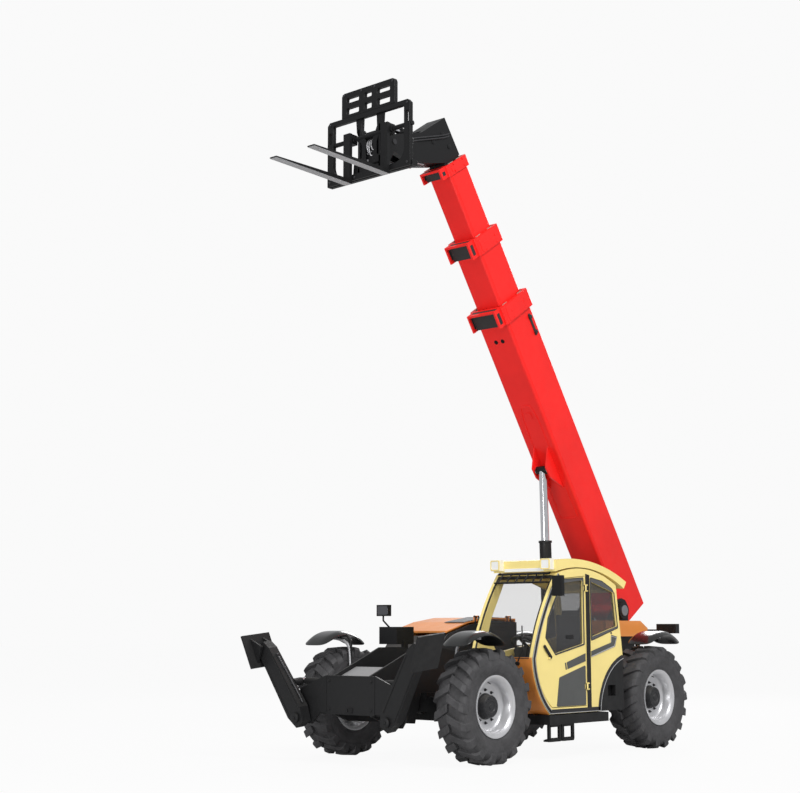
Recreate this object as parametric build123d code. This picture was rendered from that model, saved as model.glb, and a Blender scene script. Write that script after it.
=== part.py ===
"""Telescopic handler with a four-section boom, pallet forks and two front stabiliser legs.

Frame of the model: +X forward, +Y to the vehicle's left, +Z up, millimetres. While it is modelled, X is counted
from the front axle. When it is written, X is counted from the middle of the vehicle's length, on the ground.
Each sub-part is a function that returns its solids, and the last section writes one file for each of them.
"""

from build123d import *
from math import atan2, cos, degrees, hypot, pi, radians, sin
import os

# ---------------------------------------------------------------- driving dimensions
WHEELBASE = 3070.0
TRACK = 2000.0
TYRE_RADIUS = 595.0
TYRE_WIDTH = 400.0
RIM_RADIUS = 320.0
WELL_RADIUS = 290.0
BEAD_Y = 160.0
LUG_COUNT = 20
LUG_DEPTH = 38.0
GROOVE_WIDTH = 84.0
GROOVE_ANGLE = 27.0
KINGPIN_INSET = 170.0
STEERING_LIMIT = 32.0

RAIL_INNER = 245.0
RAIL_PLATE = 25.0
CHASSIS_BOTTOM = 400.0
AXLE_HALF_HEIGHT = 105.0

BOOM_ANGLE = 56.54
BOOM_AXIS_X = -3888.0
BOOM_AXIS_Z = 1800.0
PIVOT_X = -3660.0
PIVOT_Z = 1620.0
PIN_RADIUS = 45.0
BOOM_WALL = 12.0
TUBE_CORNER = 34.0
BOOM_RETRACT = 620.0
BOOM_EXTEND = 2640.0
TIP_EXTEND = 3200.0

LIFT_LOW = -61.5
LIFT_HIGH = 12.0
LIFT_BASE_X = -2500.0
LIFT_BASE_Z = 500.0
LIFT_EYE_X = -2420.0
LIFT_EYE_Z = 3310.0
LIFT_SWING_RATIO = 0.64
LIFT_STAGE_PER_DEGREE = 13.0

FORK_PIVOT_X = 460.0
FORK_PIVOT_Z = 6740.0
CROWD_LIMIT = -73.5
DUMP_LIMIT = 63.5
TILT_ROD_PER_DEGREE = 2.6

LEG_PIVOT_X = 1035.0
LEG_PIVOT_Y = 650.0
LEG_PIVOT_Z = 470.0
LEG_LEAN = 32.0
LEG_TILT = 6.0
LEG_REACH = 860.0
LEG_SWING = 80.0
LEG_CYLINDER_RATIO = 0.40
LEG_ROD_PER_DEGREE = 4.35

CAB_INNER = 300.0
CAB_OUTER = 1150.0
CAB_WALL = 45.0
DOOR_REAR_X = -1630.0
DOOR_GAP = 7.0
PANE = 6.0
DOOR_SWING = 80.0
DOOR_HINGE_X = DOOR_REAR_X + 4
DOOR_HINGE_Y = CAB_OUTER + 14

HOOD_INNER = -300.0
HOOD_OUTER = -1150.0
HOOD_SWING = 50.0

RUNNING_GAP = 0.08
SEAT_GAP = 0.05
CLEAR = 6.0

KINGPIN_Y = TRACK / 2 - KINGPIN_INSET
REAR_AXLE_X = -WHEELBASE
TANK_REAR_X = REAR_AXLE_X + 715
TANK_FRONT_X = -1880.0
BAY_REAR_X = REAR_AXLE_X + 825
BAY_FRONT_X = -760.0


# ---------------------------------------------------------------- helpers
def block(x, y, z):
    """A box between three pairs of limits."""
    size = Box(x[1] - x[0], y[1] - y[0], z[1] - z[0])
    return Pos((x[0] + x[1]) / 2, (y[0] + y[1]) / 2, (z[0] + z[1]) / 2) * size


def swept(face, plane, length):
    return extrude(plane * face, length, dir=plane.z_dir)


def closed_face(points, radius=0.0):
    face = make_face(Polyline(*points, close=True))
    return fillet(face.vertices(), radius) if radius else face


def side(points, y, radius=0.0):
    """An (x, z) outline made as wide as the two y limits."""
    return swept(closed_face(points, radius), Plane.XZ.offset(-y[1]), y[1] - y[0])


def front(points, x, radius=0.0):
    """A (y, z) outline made as long as the two x limits."""
    return swept(closed_face(points, radius), Plane.YZ.offset(x[0]), x[1] - x[0])


def plan(points, z, radius=0.0):
    """An (x, y) outline made as tall as the two z limits."""
    return swept(closed_face(points, radius), Plane.XY.offset(z[0]), z[1] - z[0])


def bar(start, end, radius):
    along = Vector(*end) - Vector(*start)
    stub = Cylinder(radius, along.length, align=(Align.CENTER, Align.CENTER, Align.MIN))
    return Plane(origin=start, z_dir=along) * stub


def bent_bar(points, radius):
    """A round bar through the points, with a ball at each bend."""
    pieces = [bar(a, b, radius) for a, b in zip(points, points[1:])]
    pieces += [Pos(*corner) * Sphere(radius) for corner in points[1:-1]]
    return joined(pieces)


def joined(pieces):
    first, *others = pieces
    return first + others if others else first


def both_sides(shape):
    return joined([shape, mirror(shape, about=Plane.XZ)])


def ring_face(points):
    """A (y, radius) outline for turning about the Y axis."""
    return Plane.XY * make_face(Polyline(*[(radius, y) for y, radius in points], close=True))


def turned(points):
    """Turns a (y, radius) outline about the Y axis."""
    return revolve(ring_face(points), Axis.Y)


def boom_frame():
    """Boom frame: X along the boom from its axis point, Z towards its top."""
    return Location((BOOM_AXIS_X, 0, BOOM_AXIS_Z), (0, -BOOM_ANGLE, 0))


def to_boom(x, z):
    """A vehicle point as (along the boom, above its axis)."""
    angle = radians(BOOM_ANGLE)
    dx, dz = x - BOOM_AXIS_X, z - BOOM_AXIS_Z
    return dx * cos(angle) + dz * sin(angle), -dx * sin(angle) + dz * cos(angle)


def from_boom(along, above):
    angle = radians(BOOM_ANGLE)
    x = BOOM_AXIS_X + along * cos(angle) - above * sin(angle)
    return x, BOOM_AXIS_Z + along * sin(angle) + above * cos(angle)


# ---------------------------------------------------------------- wheels, knuckles, axles
def tyre():
    """Tyre about the origin, outer side towards +Y, with angled lugs cut by grooves from both shoulders."""
    half = TYRE_WIDTH / 2
    crown = TYRE_RADIUS
    half_profile = [(0, crown), (0.72 * half, crown - 6), (0.93 * half, crown - 34), (half, crown - 80),
                    (half, crown - 165), (0.9 * half, RIM_RADIUS + 25), (BEAD_Y - 2, RIM_RADIUS + 3),
                    (BEAD_Y - 2, WELL_RADIUS + 0.5), (0, WELL_RADIUS + 0.5)]
    mirrored = [(-y, radius) for y, radius in reversed(half_profile[1:-1])]
    casing = turned(half_profile + mirrored)
    floor = crown - LUG_DEPTH
    grooves = []
    for hand in (1, -1):
        for number in range(LUG_COUNT):
            turn = (number + (0.5 if hand < 0 else 0)) * 360 / LUG_COUNT
            cutter = Box(GROOVE_WIDTH, 1.25 * half, 160, align=(Align.CENTER, Align.MIN, Align.MIN))
            cutter = Location((0, 0.07 * half, 0), (-9, 0, -GROOVE_ANGLE)) * cutter
            if hand < 0:
                cutter = mirror(cutter, about=Plane.XZ)
            grooves.append(Rot(0, turn, 0) * Pos(0, 0, floor) * cutter)
    return casing - grooves


def rim():
    """Deep-dished rim with its hub, outer side towards +Y."""
    lip = BEAD_Y
    well = WELL_RADIUS
    skin = 12
    outline = [(-lip - skin, RIM_RADIUS), (-lip, RIM_RADIUS), (-lip, well), (lip, well), (lip, RIM_RADIUS),
               (lip + skin, RIM_RADIUS), (lip + skin, RIM_RADIUS - skin), (lip + 4, well - skin),
               (50, well - skin), (24, well - 70), (24, 60), (8, 60), (8, well - 66), (30, well - skin),
               (-lip - 4, well - skin), (-lip - skin, RIM_RADIUS - skin)]
    hub_radius = 118
    hub = turned([(-66, 0), (-66, hub_radius - 8), (-10, hub_radius), (96, hub_radius), (112, hub_radius - 22),
                  (112, 62), (132, 56), (132, 0)])
    socket = bar((0, -66, 0), (0, -4, 0), 70 + RUNNING_GAP)
    return turned(outline) + hub - socket


def axle(x):
    """Axle beam with its differential and an open yoke for each kingpin."""
    height = TYRE_RADIUS
    half = AXLE_HALF_HEIGHT
    beam = front([(-560, height - 62), (-560, height + 62), (-200, height + 84), (200, height + 84),
                  (560, height + 62), (560, height - 62), (200, height - 84), (-200, height - 84)], (x - 70, x + 70))
    middle = bar((x, -175, height), (x, 175, height), half)
    nose = bar((x, 0, height), (x + (190 if x < -1000 else -190), 0, height), 78)
    pads = [block((x - 90, x + 90), (side_ - 40, side_ + 40), (height + 60, height + half + 15))
            for side_ in (-RAIL_INNER - RAIL_PLATE / 2, RAIL_INNER + RAIL_PLATE / 2)]
    arm = [(540, height - 150), (KINGPIN_Y, height - 150), (KINGPIN_Y + 45, height - 150), (KINGPIN_Y + 45, height - 116),
           (640, height - 116), (610, height - 70), (610, height + 70), (640, height + 116),
           (KINGPIN_Y + 45, height + 116), (KINGPIN_Y + 45, height + 150), (540, height + 150), (500, height)]
    yoke = front(arm, (x - 52, x + 52))
    bore = bar((x, KINGPIN_Y, height - 200), (x, KINGPIN_Y, height + 200), 28 + RUNNING_GAP)
    yoke -= bore
    return joined([beam, middle, nose, *pads, both_sides(yoke)])


def knuckle():
    """Steering knuckle about the wheel centre, for a left wheel: kingpin, spindle, steering arm, mudguard bracket."""
    inset = -KINGPIN_INSET
    body = block((-48, 48), (inset - 48, inset + 60), (-108, 108))
    pin = bar((0, inset, -150), (0, inset, 150), 28)
    spindle = bar((0, inset + 50, 0), (0, -8, 0), 70)
    arm = plan([(-40, inset - 30), (-190, inset - 60), (-190, inset - 10), (-40, inset + 30)], (-30, 0))
    reach = -TYRE_WIDTH / 2 - 34
    foot = block((30, MUDGUARD_SHIFT + 14), (reach - 14, reach + 34), (60, 90))
    top = MUDGUARD_CROWN - TYRE_RADIUS - MUDGUARD_LIP - 18
    bracket = bent_bar([(MUDGUARD_SHIFT, reach, 75), (MUDGUARD_SHIFT, reach, top - 60),
                        (MUDGUARD_SHIFT, reach + 60, top), (MUDGUARD_SHIFT, 130, top)], 16)
    posts = [bar((MUDGUARD_SHIFT, y, top), (MUDGUARD_SHIFT, y, top + MUDGUARD_LIP + 9.9), 9) for y in (-80, 100)]
    return joined([body, pin, spindle, arm, foot, bracket, *posts])


MUDGUARD_CROWN = 1370.0
MUDGUARD_SHIFT = 150.0
MUDGUARD_HALF = 350.0
MUDGUARD_DROP = 135.0
MUDGUARD_SKIN = 8.0
MUDGUARD_LIP = 36.0


def mudguard():
    """Shallow arched mudguard for the left front wheel, about the wheel centre."""
    crown = MUDGUARD_CROWN - TYRE_RADIUS
    width = (-TYRE_WIDTH / 2 + 20, TYRE_WIDTH / 2 + 4)

    def band(top_drop, bottom_drop, end, y):
        ends = (MUDGUARD_SHIFT - MUDGUARD_HALF + end, MUDGUARD_SHIFT + MUDGUARD_HALF - end)
        upper = ThreePointArc((ends[0], crown - MUDGUARD_DROP - top_drop), (MUDGUARD_SHIFT, crown - top_drop),
                              (ends[1], crown - MUDGUARD_DROP - top_drop))
        lower = ThreePointArc((ends[0], crown - MUDGUARD_DROP - bottom_drop), (MUDGUARD_SHIFT, crown - bottom_drop),
                              (ends[1], crown - MUDGUARD_DROP - bottom_drop))
        edges = [upper, Line(upper @ 1, lower @ 1), lower, Line(lower @ 0, upper @ 0)]
        return swept(make_face(edges), Plane.XZ.offset(-y[1]), y[1] - y[0])

    shell = band(0, MUDGUARD_LIP, 0, width)
    inner = (width[0] + MUDGUARD_SKIN, width[1] - MUDGUARD_SKIN)
    return shell - band(MUDGUARD_SKIN, 2 * MUDGUARD_LIP, MUDGUARD_SKIN, inner)


# ---------------------------------------------------------------- chassis
def chassis_plate():
    """Left side plate of the chassis, rising into the boom tower, with its bosses."""
    axle_top = TYRE_RADIUS + AXLE_HALF_HEIGHT + 15
    rear = REAR_AXLE_X
    outline = [(925, 507), (720, 430), (240, CHASSIS_BOTTOM), (150, axle_top), (-150, axle_top), (-240, CHASSIS_BOTTOM),
               (rear + 240, CHASSIS_BOTTOM), (rear + 150, axle_top), (rear - 150, axle_top), (rear - 240, 520),
               (-3700, 560), (-3930, 720), (-3930, 1300), (-3800, 1480), (-3790, 1690), (-3740, 1750), (-3660, 1772),
               (-3580, 1750), (-3520, 1680), (-3160, 1330), (-2950, 1130), (-700, 1100), (-150, 1190), (230, 1190),
               (925, 905)]
    rail = side(outline, (RAIL_INNER, RAIL_INNER + RAIL_PLATE))
    pivot = bar((PIVOT_X, 0, PIVOT_Z), (PIVOT_X, 400, PIVOT_Z), PIN_RADIUS + RUNNING_GAP)
    boss = bar((PIVOT_X, RAIL_INNER, PIVOT_Z), (PIVOT_X, RAIL_INNER + 60, PIVOT_Z), 105)
    lift_boss = bar((LIFT_BASE_X, RAIL_INNER, LIFT_BASE_Z), (LIFT_BASE_X, RAIL_INNER + 45, LIFT_BASE_Z), 70)
    return rail + boss + lift_boss - pivot


def cross_members():
    """What ties the two side plates: belly plate, bulkheads, tubes, the lift cylinder's pin and the tow jaw."""
    inside = (-RAIL_INNER, RAIL_INNER)
    crosses = [block((-2800, -400), inside, (CHASSIS_BOTTOM, CHASSIS_BOTTOM + 14)),
               block((560, 700), inside, (620, 640)),
               block((-330, -300), inside, (CHASSIS_BOTTOM, 1000)),
               block((-3930, -3905), inside, (760, 1290)),
               bar((-1250, inside[0], 640), (-1250, inside[1], 640), 60),
               bar((-3420, inside[0], 900), (-3420, inside[1], 900), 70),
               bar((LIFT_BASE_X, inside[0], LIFT_BASE_Z), (LIFT_BASE_X, inside[1], LIFT_BASE_Z), LIFT_PIN)]
    hitch = [block((TOW_PIN_X - 45, -3930), (-60, 60), (z, z + TOW_JAW)) for z in (TOW_PIN_Z - 50, TOW_PIN_Z + 25)]
    hitch.append(block((-3935, -3925), (-110, 110), (TOW_PIN_Z - 90, TOW_PIN_Z + 90)))
    whole = joined([*crosses, *hitch])
    return whole - bar((TOW_PIN_X, 0, TOW_PIN_Z - 200), (TOW_PIN_X, 0, TOW_PIN_Z + 200), TOW_PIN_RADIUS)


LIFT_PIN = 35.0
TOW_PIN_X = -4000.0
TOW_PIN_Z = 850.0
TOW_PIN_RADIUS = 16.0
TOW_JAW = 25.0


def pivot_pin():
    """Boom pivot pin with its two end caps."""
    shaft = bar((PIVOT_X, -RAIL_INNER - 66, PIVOT_Z), (PIVOT_X, RAIL_INNER + 66, PIVOT_Z), PIN_RADIUS)
    caps = [bar((PIVOT_X, hand * (RAIL_INNER + 60), PIVOT_Z), (PIVOT_X, hand * (RAIL_INNER + 72), PIVOT_Z), 66)
            for hand in (1, -1)]
    return joined([shaft, *caps])


def leg_place():
    """Frame of a left stabiliser leg: X along its hinge, Y outwards, Z up the tilted plane it swings in."""
    return Location((LEG_PIVOT_X, LEG_PIVOT_Y, LEG_PIVOT_Z), (0, LEG_TILT, 0))


LEG_HALF = 60.0
LEG_PIN = 30.0
CYLINDER_PLANE = -200.0
CYLINDER_EYE = (0.42 * LEG_REACH, 80.0)
CYLINDER_BASE = (-315.0, 335.0)


def leg_point(along, inwards):
    """A point of the leg as (outwards, up) in the leg's frame."""
    lean = radians(LEG_LEAN)
    return along * sin(lean) - inwards * cos(lean), along * cos(lean) + inwards * sin(lean)


def front_frame():
    """Front plate, wings that carry the stabiliser legs, and the ears of their cylinders."""
    plate = block((925, 950), (-355, 355), (507, 905))
    wing = front([(255, 520), (440, 520), (560, 400), (720, 400), (770, 470), (770, 600), (740, 760), (355, 905),
                  (255, 905)], (925, 950))
    gusset = plan([(925, 270), (925, 700), (880, 640), (720, 290), (720, 270)], (505, 525))
    pin = leg_place() * bar((-LEG_HALF - 60, 0, 0), (LEG_HALF + 14, 0, 0), LEG_PIN)
    boss = bar((925, LEG_PIVOT_Y, LEG_PIVOT_Z + 8), (964, LEG_PIVOT_Y, LEG_PIVOT_Z + 8), 62)
    cap = leg_place() * bar((LEG_HALF + 6, 0, 0), (LEG_HALF + 22, 0, 0), 50)
    across, up = CYLINDER_BASE
    cylinder_pin = leg_place() * bar((CYLINDER_PLANE - 60, across, up), (CYLINDER_PLANE + 34, across, up), 18)
    ear = front([(270, 700), (LEG_PIVOT_Y + across + 34, 770), (LEG_PIVOT_Y + across + 34, 840), (270, 880)],
                (803, 819))
    return both_sides(joined([plate, wing, gusset, pin, boss, cap, cylinder_pin, ear]))


def side_sill():
    """Sill under the cab with two hanging steps."""
    sill = block((-2000, -900), (CAB_OUTER - 250, CAB_OUTER + 30), (370, 470))
    carrier = [block((x, x + 60), (RAIL_INNER + RAIL_PLATE, CAB_OUTER - 240), (390, CAB_LOW)) for x in (-1890, -1050)]
    loops = []
    for low in (-1370, -1130):
        hang = [(low, CAB_OUTER - 10, 380), (low, CAB_OUTER - 10, 200), (low + 200, CAB_OUTER - 10, 200),
                (low + 200, CAB_OUTER - 10, 380)]
        loops.append(bent_bar(hang, 11))
        loops.append(block((low, low + 200), (CAB_OUTER - 80, CAB_OUTER + 5), (191, 207)))
    return joined([sill, *carrier, *loops])


def fuel_tank():
    """Tank behind the cab's lower corner, with a recessed filler pocket."""
    outline = [(TANK_REAR_X, 480), (TANK_FRONT_X, 480), (TANK_FRONT_X, 1040), (TANK_REAR_X, 1040)]
    body = side(outline, (RAIL_INNER + RAIL_PLATE, CAB_OUTER), 30)
    body -= cab_solid(CLEAR, (0, 2 * CAB_OUTER))
    middle = (TANK_REAR_X + TANK_FRONT_X) / 2
    pocket = block((middle - 75, middle + 75), (CAB_OUTER - 60, CAB_OUTER + 5), (640, 760))
    return body - pocket


ENGINE_LOW = 560.0
BAY_FLOOR = 492.0


def engine_block():
    return block((BAY_REAR_X + 295, BAY_REAR_X + 1095), (-850, -420), (ENGINE_LOW, 1240))


def engine_bay():
    """Fixed walls of the engine bay: floor, inner wall, outer skirt, nose and tail."""
    rear, front_x = BAY_REAR_X, BAY_FRONT_X
    floor = block((rear, front_x), (HOOD_OUTER, HOOD_INNER), (480, BAY_FLOOR))
    inner = side([(rear, 480), (rear, 1470), (-1730, 1490), (-1350, 1435), (-960, 1330), (front_x, 1100), (front_x, 480)],
                 (HOOD_INNER - 12, HOOD_INNER))
    skirt = block((rear, front_x), (HOOD_OUTER, HOOD_OUTER + 12), (480, 1080))
    tail = block((rear, rear + 12), (HOOD_OUTER, HOOD_INNER), (480, 1338))
    nose = side([(front_x, 480), (front_x + 12, 480), (front_x + 12, 1090), (-940, 1310), (-960, 1310),
                 (front_x, 1095)], (HOOD_OUTER, HOOD_INNER))
    mounts = [block((x, x + 80), (HOOD_INNER, -RAIL_INNER - RAIL_PLATE), (520, 700)) for x in (rear + 95, front_x - 140)]
    feet = [block((x, x + 80), (y, y + 60), (BAY_FLOOR, ENGINE_LOW))
            for x in (rear + 340, rear + 970) for y in (-820, -510)]
    ears = []
    for x in HOOD_HINGES:
        ears.append(bar((x - 36, HOOD_HINGE_Y, HOOD_HINGE_Z), (x + 36, HOOD_HINGE_Y, HOOD_HINGE_Z), HINGE_PIN))
        for low in (x - 36, x + 27):
            ears.append(block((low, low + 9), (HOOD_INNER - 12, HOOD_INNER), (1440, HOOD_HINGE_Z)))
            ears.append(bar((low, HOOD_HINGE_Y, HOOD_HINGE_Z), (low + 9, HOOD_HINGE_Y, HOOD_HINGE_Z), 10))
            ears.append(block((low, low + 9), (HOOD_HINGE_Y, HOOD_INNER), (HOOD_HINGE_Z - 8, HOOD_HINGE_Z + 8)))
    return joined([floor, inner, skirt, tail, nose, *mounts, *feet, *ears])


HOOD_HINGE_Y = HOOD_INNER - 20.0
HOOD_HINGE_Z = 1535.0
HOOD_HINGES = (-2100, -1500)


def hood_lid():
    """Engine hood: arched top with a rounded outer flank, hinged along its inner edge."""
    def shape(inset, y):
        points = [(-965 - inset, 1000), (-965 - inset, 1366 - inset), (-1350, 1470 - inset), (-1730, 1523 - inset),
                  (BAY_REAR_X + inset, 1512 - inset), (BAY_REAR_X + inset, 1000)]
        return side(points, y)

    lid = shape(0, (HOOD_OUTER - 22, HOOD_INNER - 18)) - shape(14, (HOOD_OUTER - 8, HOOD_INNER + 40))
    lid -= block((-2400, -900), (HOOD_OUTER - 8, HOOD_INNER + 60), (900, 1345))
    pieces = [lid]
    for x in HOOD_HINGES:
        pieces.append(bar((x - 24, HOOD_HINGE_Y, HOOD_HINGE_Z), (x + 24, HOOD_HINGE_Y, HOOD_HINGE_Z), 11))
        pieces.append(block((x - 24, x + 24), (HOOD_HINGE_Y - 24, HOOD_HINGE_Y - 2), (1480, HOOD_HINGE_Z + 2)))
    pin = bar((-2400, HOOD_HINGE_Y, HOOD_HINGE_Z), (-900, HOOD_HINGE_Y, HOOD_HINGE_Z), HINGE_PIN + RUNNING_GAP)
    return joined(pieces) - pin


# ---------------------------------------------------------------- cab
CAB_LOW = 480.0
CAB_FLOOR = 560.0


def cab_edges(grow=0.0):
    """Side outline of the cab's walls as edges in (x, z), grown outwards by a distance in x and z."""
    front_low = (-939 + grow, CAB_LOW - grow)
    belly = (-643 + grow, 1072)
    top_front = (-1124 + grow, 1996 + grow)
    rear_low = (-2355 - grow, 1049 - grow)
    lower = ThreePointArc(front_low, (-712 + grow, 780), belly)
    upper = ThreePointArc(belly, (-800 + grow, 1490), top_front)
    roof = ThreePointArc(top_front, (-1700, 2045 + grow), (-2241 - grow, 1880 + grow))
    rear = Line((-2241 - grow, 1880 + grow), rear_low)
    arch = ThreePointArc(rear_low, (-2080, 890 - grow), (-1895, CAB_LOW - grow))
    return [lower, upper, roof, rear, arch, Line((-1895, CAB_LOW - grow), front_low)]


def cab_solid(grow, y):
    return swept(make_face(cab_edges(grow)), Plane.XZ.offset(-y[1]), y[1] - y[0])


def door_outline(shrink=0.0):
    """Door outline in (x, z): its front edge follows the cab's front."""
    low = (-985 - shrink, 545 + shrink)
    belly = (-712 - shrink, 1072)
    top = (-1150 - shrink, 1935 - shrink)
    rear_top = (DOOR_REAR_X + shrink, 1975 - shrink)
    rear_low = (DOOR_REAR_X + shrink, 545 + shrink)
    lower = ThreePointArc(low, (-778 - shrink, 790), belly)
    upper = ThreePointArc(belly, (-860 - shrink, 1480), top)
    return make_face([lower, upper, Line(top, rear_top), Line(rear_top, rear_low), Line(rear_low, low)])


DOOR_HINGES = (760, 1840)
HINGE_PIN = 6.0
DOOR_WINDOW_CORNER = 18.0
DOOR_WINDOW = [(-890, 1300), (-1060, 1120), (-1585, 1225), (-1585, 1925), (-1195, 1885), (-950, 1500)]
INNER_WINDOW = [(-900, 1330), (-1060, 1120), (-2230, 1300), (-2180, 1800), (-1700, 1930), (-1190, 1890), (-960, 1500)]
SIDE_WINDOW = [(-1745, 1300), (-2250, 1420), (-2190, 1800), (-1745, 1915)]
ROOF_FRONT_X = -1075.0
SCREEN_LOW = 1090.0
SCREEN_HIGH = 1950.0
REAR_PANE_LOW = 1330.0
REAR_PANE_HIGH = 1800.0
PILLAR = 55.0


def cab_shell():
    """Hollow cab body with every window and the doorway cut out."""
    walls = cab_solid(0, (CAB_INNER, CAB_OUTER)) - cab_solid(-CAB_WALL, (CAB_INNER + CAB_WALL, CAB_OUTER - CAB_WALL))
    clear = (CAB_INNER + PILLAR, CAB_OUTER - PILLAR)
    walls -= block((-1400, -500), clear, (SCREEN_LOW, SCREEN_HIGH))
    walls -= block((-2600, -2150), clear, (REAR_PANE_LOW, REAR_PANE_HIGH))
    walls -= block((-2120, -1180), clear, (1900, 2200))
    walls -= swept(door_outline(0), Plane.XZ.offset(-CAB_OUTER - 5), CAB_WALL + 20)
    walls -= side(SIDE_WINDOW, (CAB_OUTER - CAB_WALL - 10, CAB_OUTER + 10))
    walls -= side(INNER_WINDOW, (CAB_INNER - 10, CAB_INNER + CAB_WALL + 10))
    return joined([walls, *[door_hinge_half(z) for z in DOOR_HINGES]])


def door_hinge_half(z):
    """The cab's half of a door hinge: a plate, two round lugs and the pin."""
    x, y = DOOR_HINGE_X, DOOR_HINGE_Y
    pieces = [bar((x, y, z - 36), (x, y, z + 36), HINGE_PIN),
              block((x - 48, x - 14), (CAB_OUTER, CAB_OUTER + 6), (z - 40, z + 40))]
    for low in (z - 36, z + 27):
        pieces.append(bar((x, y, low), (x, y, low + 9), 9))
        pieces.append(block((x - 40, x - 4), (CAB_OUTER, CAB_OUTER + 20), (low, low + 9)))
    return joined(pieces)


def cab_roof():
    """Roof cap, arched down to the rear, overhanging the walls."""
    y = (CAB_INNER - 6, CAB_OUTER + 10)
    under = ThreePointArc((ROOF_FRONT_X, 2010), (-1645, 2062), (-2390, 1850))
    over = ThreePointArc((ROOF_FRONT_X, 2135), (-1600, 2150), (-2440, 1925))
    edges = [under, Line(under @ 1, over @ 1), over, Line(over @ 0, under @ 0)]
    cap = swept(make_face(edges), Plane.XZ.offset(-y[1]), y[1] - y[0])
    return cap - cab_solid(SEAT_GAP, (CAB_INNER - 8, CAB_OUTER + 12))


def cab_glass():
    """Windscreen, rear pane and the two side panes, each let into its opening."""
    skin = cab_solid(-16, (CAB_INNER + PILLAR, CAB_OUTER - PILLAR))
    skin -= cab_solid(-16 - PANE, (CAB_INNER, CAB_OUTER))
    screen = skin & block((-1400, -500), (0, 2000), (SCREEN_LOW, SCREEN_HIGH))
    rear = skin & block((-2600, -2150), (0, 2000), (REAR_PANE_LOW, REAR_PANE_HIGH))
    quarter = side(SIDE_WINDOW, (CAB_OUTER - 20 - PANE, CAB_OUTER - 20))
    right = side(INNER_WINDOW, (CAB_INNER + 20, CAB_INNER + 20 + PANE))
    return joined([screen, rear, quarter, right])


def door_panel():
    """Door: a framed panel as thick as the wall, with its window cut."""
    leaf = swept(door_outline(DOOR_GAP), Plane.XZ.offset(-CAB_OUTER - 2), CAB_WALL)
    leaf -= side(DOOR_WINDOW, (CAB_OUTER - 200, CAB_OUTER + 50), DOOR_WINDOW_CORNER)
    handle = bar((-930, CAB_OUTER + 2, 1075), (-930, CAB_OUTER + 26, 1075), 9)
    sleeves = []
    for z in DOOR_HINGES:
        sleeves.append(bar((DOOR_HINGE_X, DOOR_HINGE_Y, z - 26), (DOOR_HINGE_X, DOOR_HINGE_Y, z + 26), 11))
        sleeves.append(block((DOOR_HINGE_X + 4, DOOR_HINGE_X + 36), (CAB_OUTER + 2, CAB_OUTER + 12), (z - 26, z + 26)))
    pins = bar((DOOR_HINGE_X, DOOR_HINGE_Y, 0), (DOOR_HINGE_X, DOOR_HINGE_Y, 2100), HINGE_PIN + RUNNING_GAP)
    return joined([leaf, handle, *sleeves]) - pins


def door_glass():
    return side(DOOR_WINDOW, (CAB_OUTER - 16 - PANE, CAB_OUTER - 16), DOOR_WINDOW_CORNER)


def seat():
    base = block((-1810, -1500), (520, 900), (CAB_FLOOR, 900))
    cushion = block((-1950, -1450), (480, 950), (900, 1010))
    back = side([(-1960, 1010), (-1860, 1010), (-1960, 1620), (-2050, 1620)], (500, 930))
    return joined([base, cushion, back])


def dashboard():
    column = side([(-1060, CAB_FLOOR), (-1000, CAB_FLOOR), (-905, 720), (-1010, 1190), (-1080, 1160), (-980, 720)], (640, 800))
    seat_of_wheel = Location((-1110, 720, 1200), (0, -35, 0))
    section = make_face(Polyline((158, 0), (166, 12), (180, 12), (188, 0), (180, -12), (166, -12), close=True))
    wheel = seat_of_wheel * revolve(Plane.XZ * section, Axis.Z)
    hub = seat_of_wheel * Box(326, 40, 16)
    stalk = bar((-1040, 720, 1140), (-1110, 720, 1205), 24)
    console = block((-1500, -1020), (355, 470), (CAB_FLOOR, 1020))
    floor = block((-1820, -1000), (CAB_INNER + CAB_WALL, CAB_OUTER - CAB_WALL - CLEAR), (CAB_LOW + CAB_WALL, CAB_FLOOR))
    return joined([column, wheel, hub, stalk, console, floor])


def roof_guard():
    """Ladder of bars behind the top of the windscreen."""
    pieces = []
    for x in (-1205, -1285):
        pieces.append(block((x - 12, x + 12), (CAB_INNER + PILLAR, CAB_OUTER - PILLAR), (1972, 1992)))
    return joined(pieces + [block((-1290, -1200), (y - 8, y + 8), (1974, 1990)) for y in (450, 600, 750, 900, 1020)])


def work_lamps():
    """Two lamp housings on the roof's front corners."""
    return joined([block((ROOF_FRONT_X, -1000), (y, y + 130), (2030, 2150)) for y in (CAB_INNER + 10, CAB_OUTER - 140)])


def mirrors():
    """Right mirror on its post and box, and left mirror on the cab's front pillar."""
    box = block((-350, -70), (-540, -275), (1220, 1410))
    post = bent_bar([(-200, -500, 1400), (-200, -600, 1480), (-200, -600, 1560)], 10)
    glass = block((-235, -185), (-690, -510), (1530, 1655))
    arm = bent_bar([(-1040, CAB_OUTER, 1830), (-1040, CAB_OUTER + 70, 1830), (-960, CAB_OUTER + 100, 1850)], 10)
    left = block((-985, -935), (CAB_OUTER + 60, CAB_OUTER + 190), (1740, 1960))
    bracket = block((-250, -170), (-300, -RAIL_INNER - RAIL_PLATE), (1100, 1260))
    return joined([box, bracket, post, glass]), joined([arm, left])


def rear_lights():
    arm = block((-3898, -3862), (RAIL_INNER + RAIL_PLATE, 640), (1335, 1385))
    lamp = block((-3945, -3865), (640, 920), (1335, 1452))
    return both_sides(arm + lamp)


def rear_cowl():
    """Cover over the rear of the chassis, each side of the boom."""
    shape = [(-2950, 1280), (-3050, 1300), (-3860, 1300), (-3860, 1400), (-3700, 1490), (-2950, 1490)]
    return both_sides(side(shape, (RAIL_INNER + RAIL_PLATE, RAIL_INNER + RAIL_PLATE + 245)))


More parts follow.
